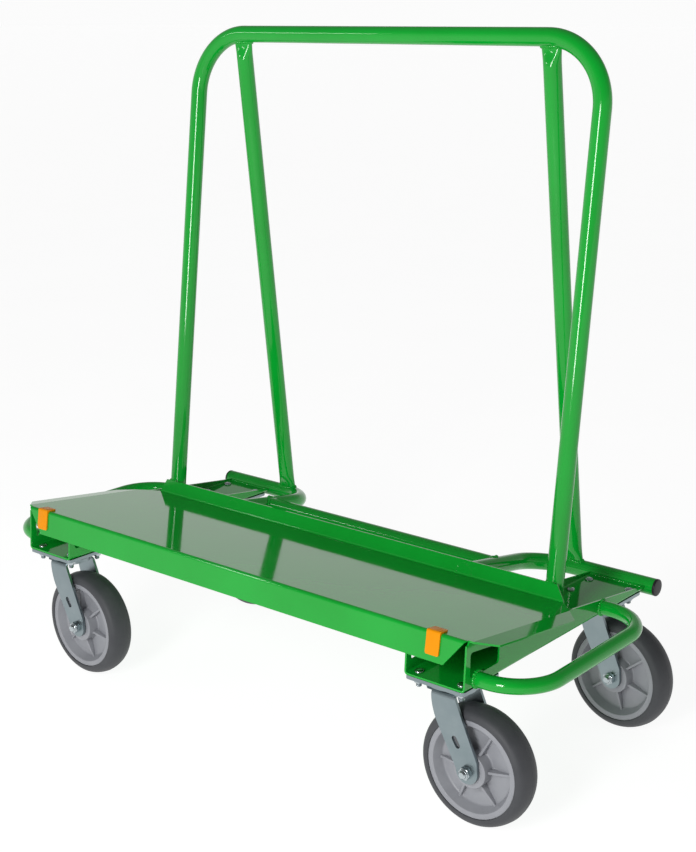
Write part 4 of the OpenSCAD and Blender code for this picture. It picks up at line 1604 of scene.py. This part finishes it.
@dataclass(frozen=True)
class TubeCaps:
    """The plastic caps in the rear tubes' open ends."""

    cap_t: float = 5.0
    crown: float = 0.7
    crown_share: float = 0.3
    plug_r: float = 13.4
    plug_len: float = 14.0
    plug_taper: float = 1.0
    rounds: tuple[float, ...] = (0.0, 1.0, 0.0, 0.4, 1.8, 4.0, 0.0)
    round_steps: int = 5
    faces: int = 48

    def build(self, wardrobe: Wardrobe) -> None:
        """Builds both caps as one piece.

        Args:
            wardrobe: The materials.
        """
        rim = SIZES.tube_r
        line = ((0.0, -self.plug_len), (self.plug_r - self.plug_taper, -self.plug_len), (self.plug_r, 0.0),
                (rim, 0.0), (rim, self.cap_t - self.crown),
                (rim / 2, self.cap_t - self.crown * self.crown_share), (0.0, self.cap_t))
        profile = rounded(profile_of(line), self.rounds, self.round_steps)
        cap = Bench.smooth(Bench.turned("cap_pattern", profile, self.faces), ROUND_CREASE)
        copies = []
        for word, side in SIDES.items():
            at = spot(side * SIZES.rear_tube_end_x, SIZES.rear_y, SIZES.rear_tube_z)
            turn = about("Y", side * math.pi / 2)
            copies.append(Bench.copied(cap, f"cap_{word}", Matrix.Translation(at) @ turn))
        Bench.drop(cap)
        wardrobe.add(Bench.joined(copies, "tube_end_caps"), "frame", "cap_black", "end_caps")


@dataclass(frozen=True)
class WeldBeads:
    """The rippled welds between the tubes, the channels and the lip."""

    radius: float = 3.0
    pitch: float = 4.6
    ripple: float = 0.16
    uneven: float = 0.06
    uneven_rate: float = 1.7
    gap: float = 0.8
    sides: int = 10
    turn_steps: int = 72
    post_half: float = 9.0
    post_off: float = 1.0
    crease: float = 60.0

    def bead(self, name: str, points: list[Vector], closed: bool) -> bpy.types.Object:
        """Lays one bead along a line.

        Args:
            name: The bead's name.
            points: The line.
            closed: Whether it comes back to its start.

        Returns:
            The bead.
        """
        line = spaced(points, self.gap * MM, closed)
        phase = math.tau * self.gap / self.pitch
        swell = [1.0 + self.ripple * math.sin(phase * i) + self.uneven * math.sin(self.uneven_rate * i)
                 for i in range(len(line))]
        return Bench.tube(name, line, self.radius * MM, closed, swell, self.sides)

    def ring(self, shape: Callable[[float], Vector]) -> list[Vector]:
        """Returns a closed line from a function of the angle."""
        return [shape(math.tau * k / self.turn_steps) for k in range(self.turn_steps)]

    def foot(self, side: int) -> list[Vector]:
        """Draws the line round a push frame's foot.

        Args:
            side: The end of the cart, -1 or 1.

        Returns:
            The line's points.
        """
        at = SIZES.on_frame(side * SIZES.frame_width / 2, SIZES.web_top)
        stretch = 1.0 / math.cos(math.radians(SIZES.back_lean))
        r = SIZES.tube_r
        return self.ring(lambda a: at + spot(r * math.cos(a), r * stretch * math.sin(a), 0.0))

    def brace_end(self, brace: Brace, side: int, high: bool) -> list[Vector]:
        """Returns the line round one end of a brace, on the tube that carries it.

        Args:
            brace: The brace's sizes.
            side: The end of the cart, -1 or 1.
            high: Whether it is the brace's head.

        Returns:
            The line's points.
        """
        foot, head = brace.line(side)
        size = (head - foot).length / MM
        place = brace.axes(side)

        def on_tube(angle: float) -> Vector:
            """Finds the point of the line at an angle.

            Args:
                angle: The angle round the brace, in radians.

            Returns:
                The point, in metres.
            """
            round_at = Vector((SIZES.tube_r * math.cos(angle), SIZES.tube_r * math.sin(angle), 0.0))
            at = brace.pressed(round_at, 1.0)
            level = math.sqrt(SIZES.tube_r ** 2 - at.x ** 2)
            return place @ spot(at.x, at.y, size - level if high else level)

        return self.ring(on_tube)

    def handle_end(self, tubes: Tubework, side: int, back: float) -> list[Vector]:
        """Draws the line round a handle's end on its channel.

        Args:
            tubes: The tubes' sizes.
            side: The end of the cart, -1 or 1.
            back: The end's distance behind the front one.

        Returns:
            The line's points.
        """
        x = side * SIZES.channel_out
        y = SIZES.front_y + tubes.handle_front + back
        r = tubes.handle_r
        return self.ring(lambda a: spot(x, y + r * math.cos(a), tubes.handle_z + r * math.sin(a)))

    def cross_end(self, side: int) -> list[Vector]:
        """Draws the saddle line at one end of the cross tube.

        Args:
            side: The end of the cart, -1 or 1.

        Returns:
            The line's points.
        """
        rise = math.radians(SIZES.loop_rise)
        at = SIZES.on_loop(SIZES.cross_forward / math.cos(rise), side)
        r = SIZES.tube_r

        def saddle(angle: float) -> Vector:
            """Finds the point of the saddle at an angle.

            Args:
                angle: The angle round the cross tube, in radians.

            Returns:
                The point, in metres.
            """
            off = r * math.sin(angle)
            across = -side * math.sqrt(max(r * r - off * off, 0.0))
            along = r * math.cos(angle)
            return at + spot(across, along * math.cos(rise) + off * math.sin(rise),
                             off * math.cos(rise) - along * math.sin(rise))

        return self.ring(saddle)

    def loop_end(self, side: int) -> list[Vector]:
        """Draws the line round a rear tube's end on the lip's back.

        Args:
            side: The end of the cart, -1 or 1.

        Returns:
            The line's points.
        """
        rise = math.radians(SIZES.loop_rise)
        skew = math.radians(SIZES.deck_slope) - rise
        lip = SIZES.on_deck(side * SIZES.loop_x, SIZES.deck_run + SIZES.sheet_t, 0.0)
        bend = SIZES.on_loop(0.0, side)
        way = SIZES.on_loop(1.0, side) - bend
        normal = SIZES.on_deck(0.0, 1.0, 0.0) - SIZES.on_deck(0.0, 0.0, 0.0)
        at = bend + way * ((lip - bend).dot(normal) / way.dot(normal))
        up = SIZES.on_deck(0.0, 0.0, 1.0) - SIZES.on_deck(0.0, 0.0, 0.0)
        r = SIZES.tube_r
        stretch = r / math.cos(skew)
        return self.ring(lambda a: at + spot(r * math.cos(a), 0.0, 0.0) + up * (stretch * math.sin(a)))

    def build(self, wardrobe: Wardrobe, brace: Brace, tubes: Tubework) -> None:
        """Lays all the beads, joined in one piece.

        Args:
            wardrobe: The materials.
            brace: The braces' sizes.
            tubes: The tubes' sizes.
        """
        lines: list[tuple[list[Vector], bool]] = []
        for side in SIDES.values():
            lines += [(self.foot(side), True), (self.cross_end(side), True), (self.loop_end(side), True)]
            lines += [(self.brace_end(brace, side, high), True) for high in (False, True)]
            lines += [(self.handle_end(tubes, side, back), True) for back in (0.0, tubes.handle_span)]
            half = SIZES.channel_w / 2 - SIZES.channel_t
            y = SIZES.rear_y - SIZES.tube_r
            lines.append(([spot(side * SIZES.channel_x - half, y, SIZES.web_top),
                           spot(side * SIZES.channel_x + half, y, SIZES.web_top)], False))
            lip = SIZES.deck_run + SIZES.sheet_t + self.post_off
            post = side * SIZES.frame_width / 2
            lines.append(([SIZES.on_deck(post + dx, lip, SIZES.lip_h - self.post_off)
                           for dx in (-self.post_half, self.post_half)], False))
        beads = [self.bead(f"bead_{i}", line, closed) for i, (line, closed) in enumerate(lines)]
        wardrobe.add(Bench.smooth(Bench.joined(beads, "weld_beads"), self.crease), "frame", "frame_green")


@dataclass(frozen=True)
class Softbox:
    """One rectangular studio light, which shows in reflections or not."""

    name: str
    at: tuple[float, float, float]
    size: tuple[float, float]
    power: float
    aim: tuple[float, float, float] = (0.0, 0.0, 0.55)
    mirrored: bool = True

    def hang(self) -> None:
        """Hangs the light and turns it to its aim."""
        bpy.ops.object.light_add(type="AREA", location=self.at)
        lamp = bpy.context.object
        lamp.name = self.name
        lamp.data.shape = "RECTANGLE"
        lamp.data.size, lamp.data.size_y = self.size
        lamp.data.energy = self.power
        lamp.visible_glossy = self.mirrored
        lamp.rotation_euler = (Vector(self.aim) - Vector(self.at)).to_track_quat("-Z", "Y").to_euler()


@dataclass(frozen=True)
class Studio:
    """The floor, the room's light and the camera."""

    camera_at: tuple[float, float, float] = (1.7205, -2.0377, 1.2409)
    yaw: float = 39.46
    pitch: float = 15.222
    focal_px: float = 1501.4
    image_h: int = 852
    sensor: float = 36.0
    floor_side: float = 400.0
    floor_cloud: float = 2.0
    floor_dark: Tone = (0.19, 0.19, 0.19)
    floor_light: Tone = (0.21, 0.21, 0.21)
    floor_rough: float = 0.9
    floor_gloss: float = 0.1
    floor_glow: float = 0.9
    glow_tone: tuple[float, float, float, float] = (1.0, 1.0, 1.0, 1.0)
    room: tuple[tuple[float, float], ...] = (
        (0.0, 0.97), (0.012, 0.97), (0.035, 0.93), (0.22, 0.92), (0.31, 0.5), (0.6, 0.22))
    new_stop: float = 0.5
    room_back: tuple[float, float, float] = (-0.64, 0.77, 0.0)
    room_facing: tuple[float, float] = (-1.0, 0.8)
    room_front_share: float = 0.45
    lights: tuple[Softbox, ...] = (
        Softbox("key_strip", (0.874, -3.292, 1.168), (0.7, 1.21), 61.8),
        Softbox("key_veil", (0.807, -3.039, 2.082), (0.7, 0.69), 35.2, mirrored=False),
        Softbox("high_strip", (-2.4, -2.1, 2.05), (0.8, 0.12), 5.0),
    )

    def lay_floor(self) -> None:
        """Lays the pale, softly glowing floor."""
        bpy.ops.object.select_all(action="DESELECT")
        bpy.ops.mesh.primitive_plane_add(size=self.floor_side)
        floor = bpy.context.object
        floor.name = "studio_floor"
        n = Nodes("pale_floor")
        tone = n.ramp(n.noise(self.floor_cloud), self.floor_dark, self.floor_light)
        floor.data.materials.append(n.feed(
            Base_Color=tone, Roughness=self.floor_rough, Specular_IOR_Level=self.floor_gloss,
            Emission_Color=self.glow_tone, Emission_Strength=self.floor_glow))

    def light_room(self) -> None:
        """Makes the room pale behind the cart and greyer toward the ceiling and the front."""
        world = bpy.data.worlds.new("studio_room")
        bpy.context.scene.world = world
        world.use_nodes = True
        tree = world.node_tree
        where = tree.nodes.new("ShaderNodeTexCoord")
        split = tree.nodes.new("ShaderNodeSeparateXYZ")
        band = tree.nodes.new("ShaderNodeValToRGB")
        stops = band.color_ramp.elements
        while len(stops) < len(self.room):
            stops.new(self.new_stop)
        for stop, (height, grey) in zip(stops, self.room):
            stop.position = height
            stop.color = (grey, grey, grey, 1.0)
        facing = tree.nodes.new("ShaderNodeVectorMath")
        facing.operation = "DOT_PRODUCT"
        facing.inputs[1].default_value = self.room_back
        share = tree.nodes.new("ShaderNodeMapRange")
        front, back = self.room_facing
        preset(share, From_Min=front, From_Max=back, To_Min=self.room_front_share, To_Max=1.0)
        tree.links.new(where.outputs["Generated"], split.inputs["Vector"])
        tree.links.new(where.outputs["Generated"], facing.inputs[0])
        tree.links.new(facing.outputs["Value"], share.inputs["Value"])
        tree.links.new(split.outputs["Z"], band.inputs["Fac"])
        tree.links.new(band.outputs["Color"], tree.nodes["Background"].inputs["Color"])
        tree.links.new(share.outputs["Result"], tree.nodes["Background"].inputs["Strength"])

    def place_camera(self) -> None:
        """Stands the camera where the photograph was taken."""
        bpy.ops.object.camera_add(location=self.camera_at)
        camera = bpy.context.object
        camera.rotation_euler = (math.radians(RIGHT_ANGLE - self.pitch), 0.0, math.radians(self.yaw))
        camera.data.sensor_width = self.sensor
        camera.data.lens = self.focal_px * self.sensor / self.image_h
        camera.data.clip_end = 2 * self.floor_side
        bpy.context.scene.camera = camera

    def set_up(self) -> None:
        """Sets up the whole studio."""
        self.lay_floor()
        self.light_room()
        for light in self.lights:
            light.hang()
        self.place_camera()
        bpy.context.scene.view_settings.view_transform = "Standard"


def main() -> None:
    """Builds the cart's looks in order."""
    logging.basicConfig(level=logging.INFO)
    Studio().set_up()
    wardrobe = Wardrobe(Finishes())
    NodeFinishes().dress(wardrobe)
    places = CasterPlaces()
    tubes = Tubework()
    brace = Brace()
    tubes.build(wardrobe)
    brace.build(wardrobe)
    SheetMetal().build(wardrobe, places)
    Wheel().build(wardrobe, places)
    Fasteners().build(wardrobe, places)
    EdgeClips().build(wardrobe)
    TubeCaps().build(wardrobe)
    WeldBeads().build(wardrobe, brace, tubes)


if __name__ == "__main__":
    main()
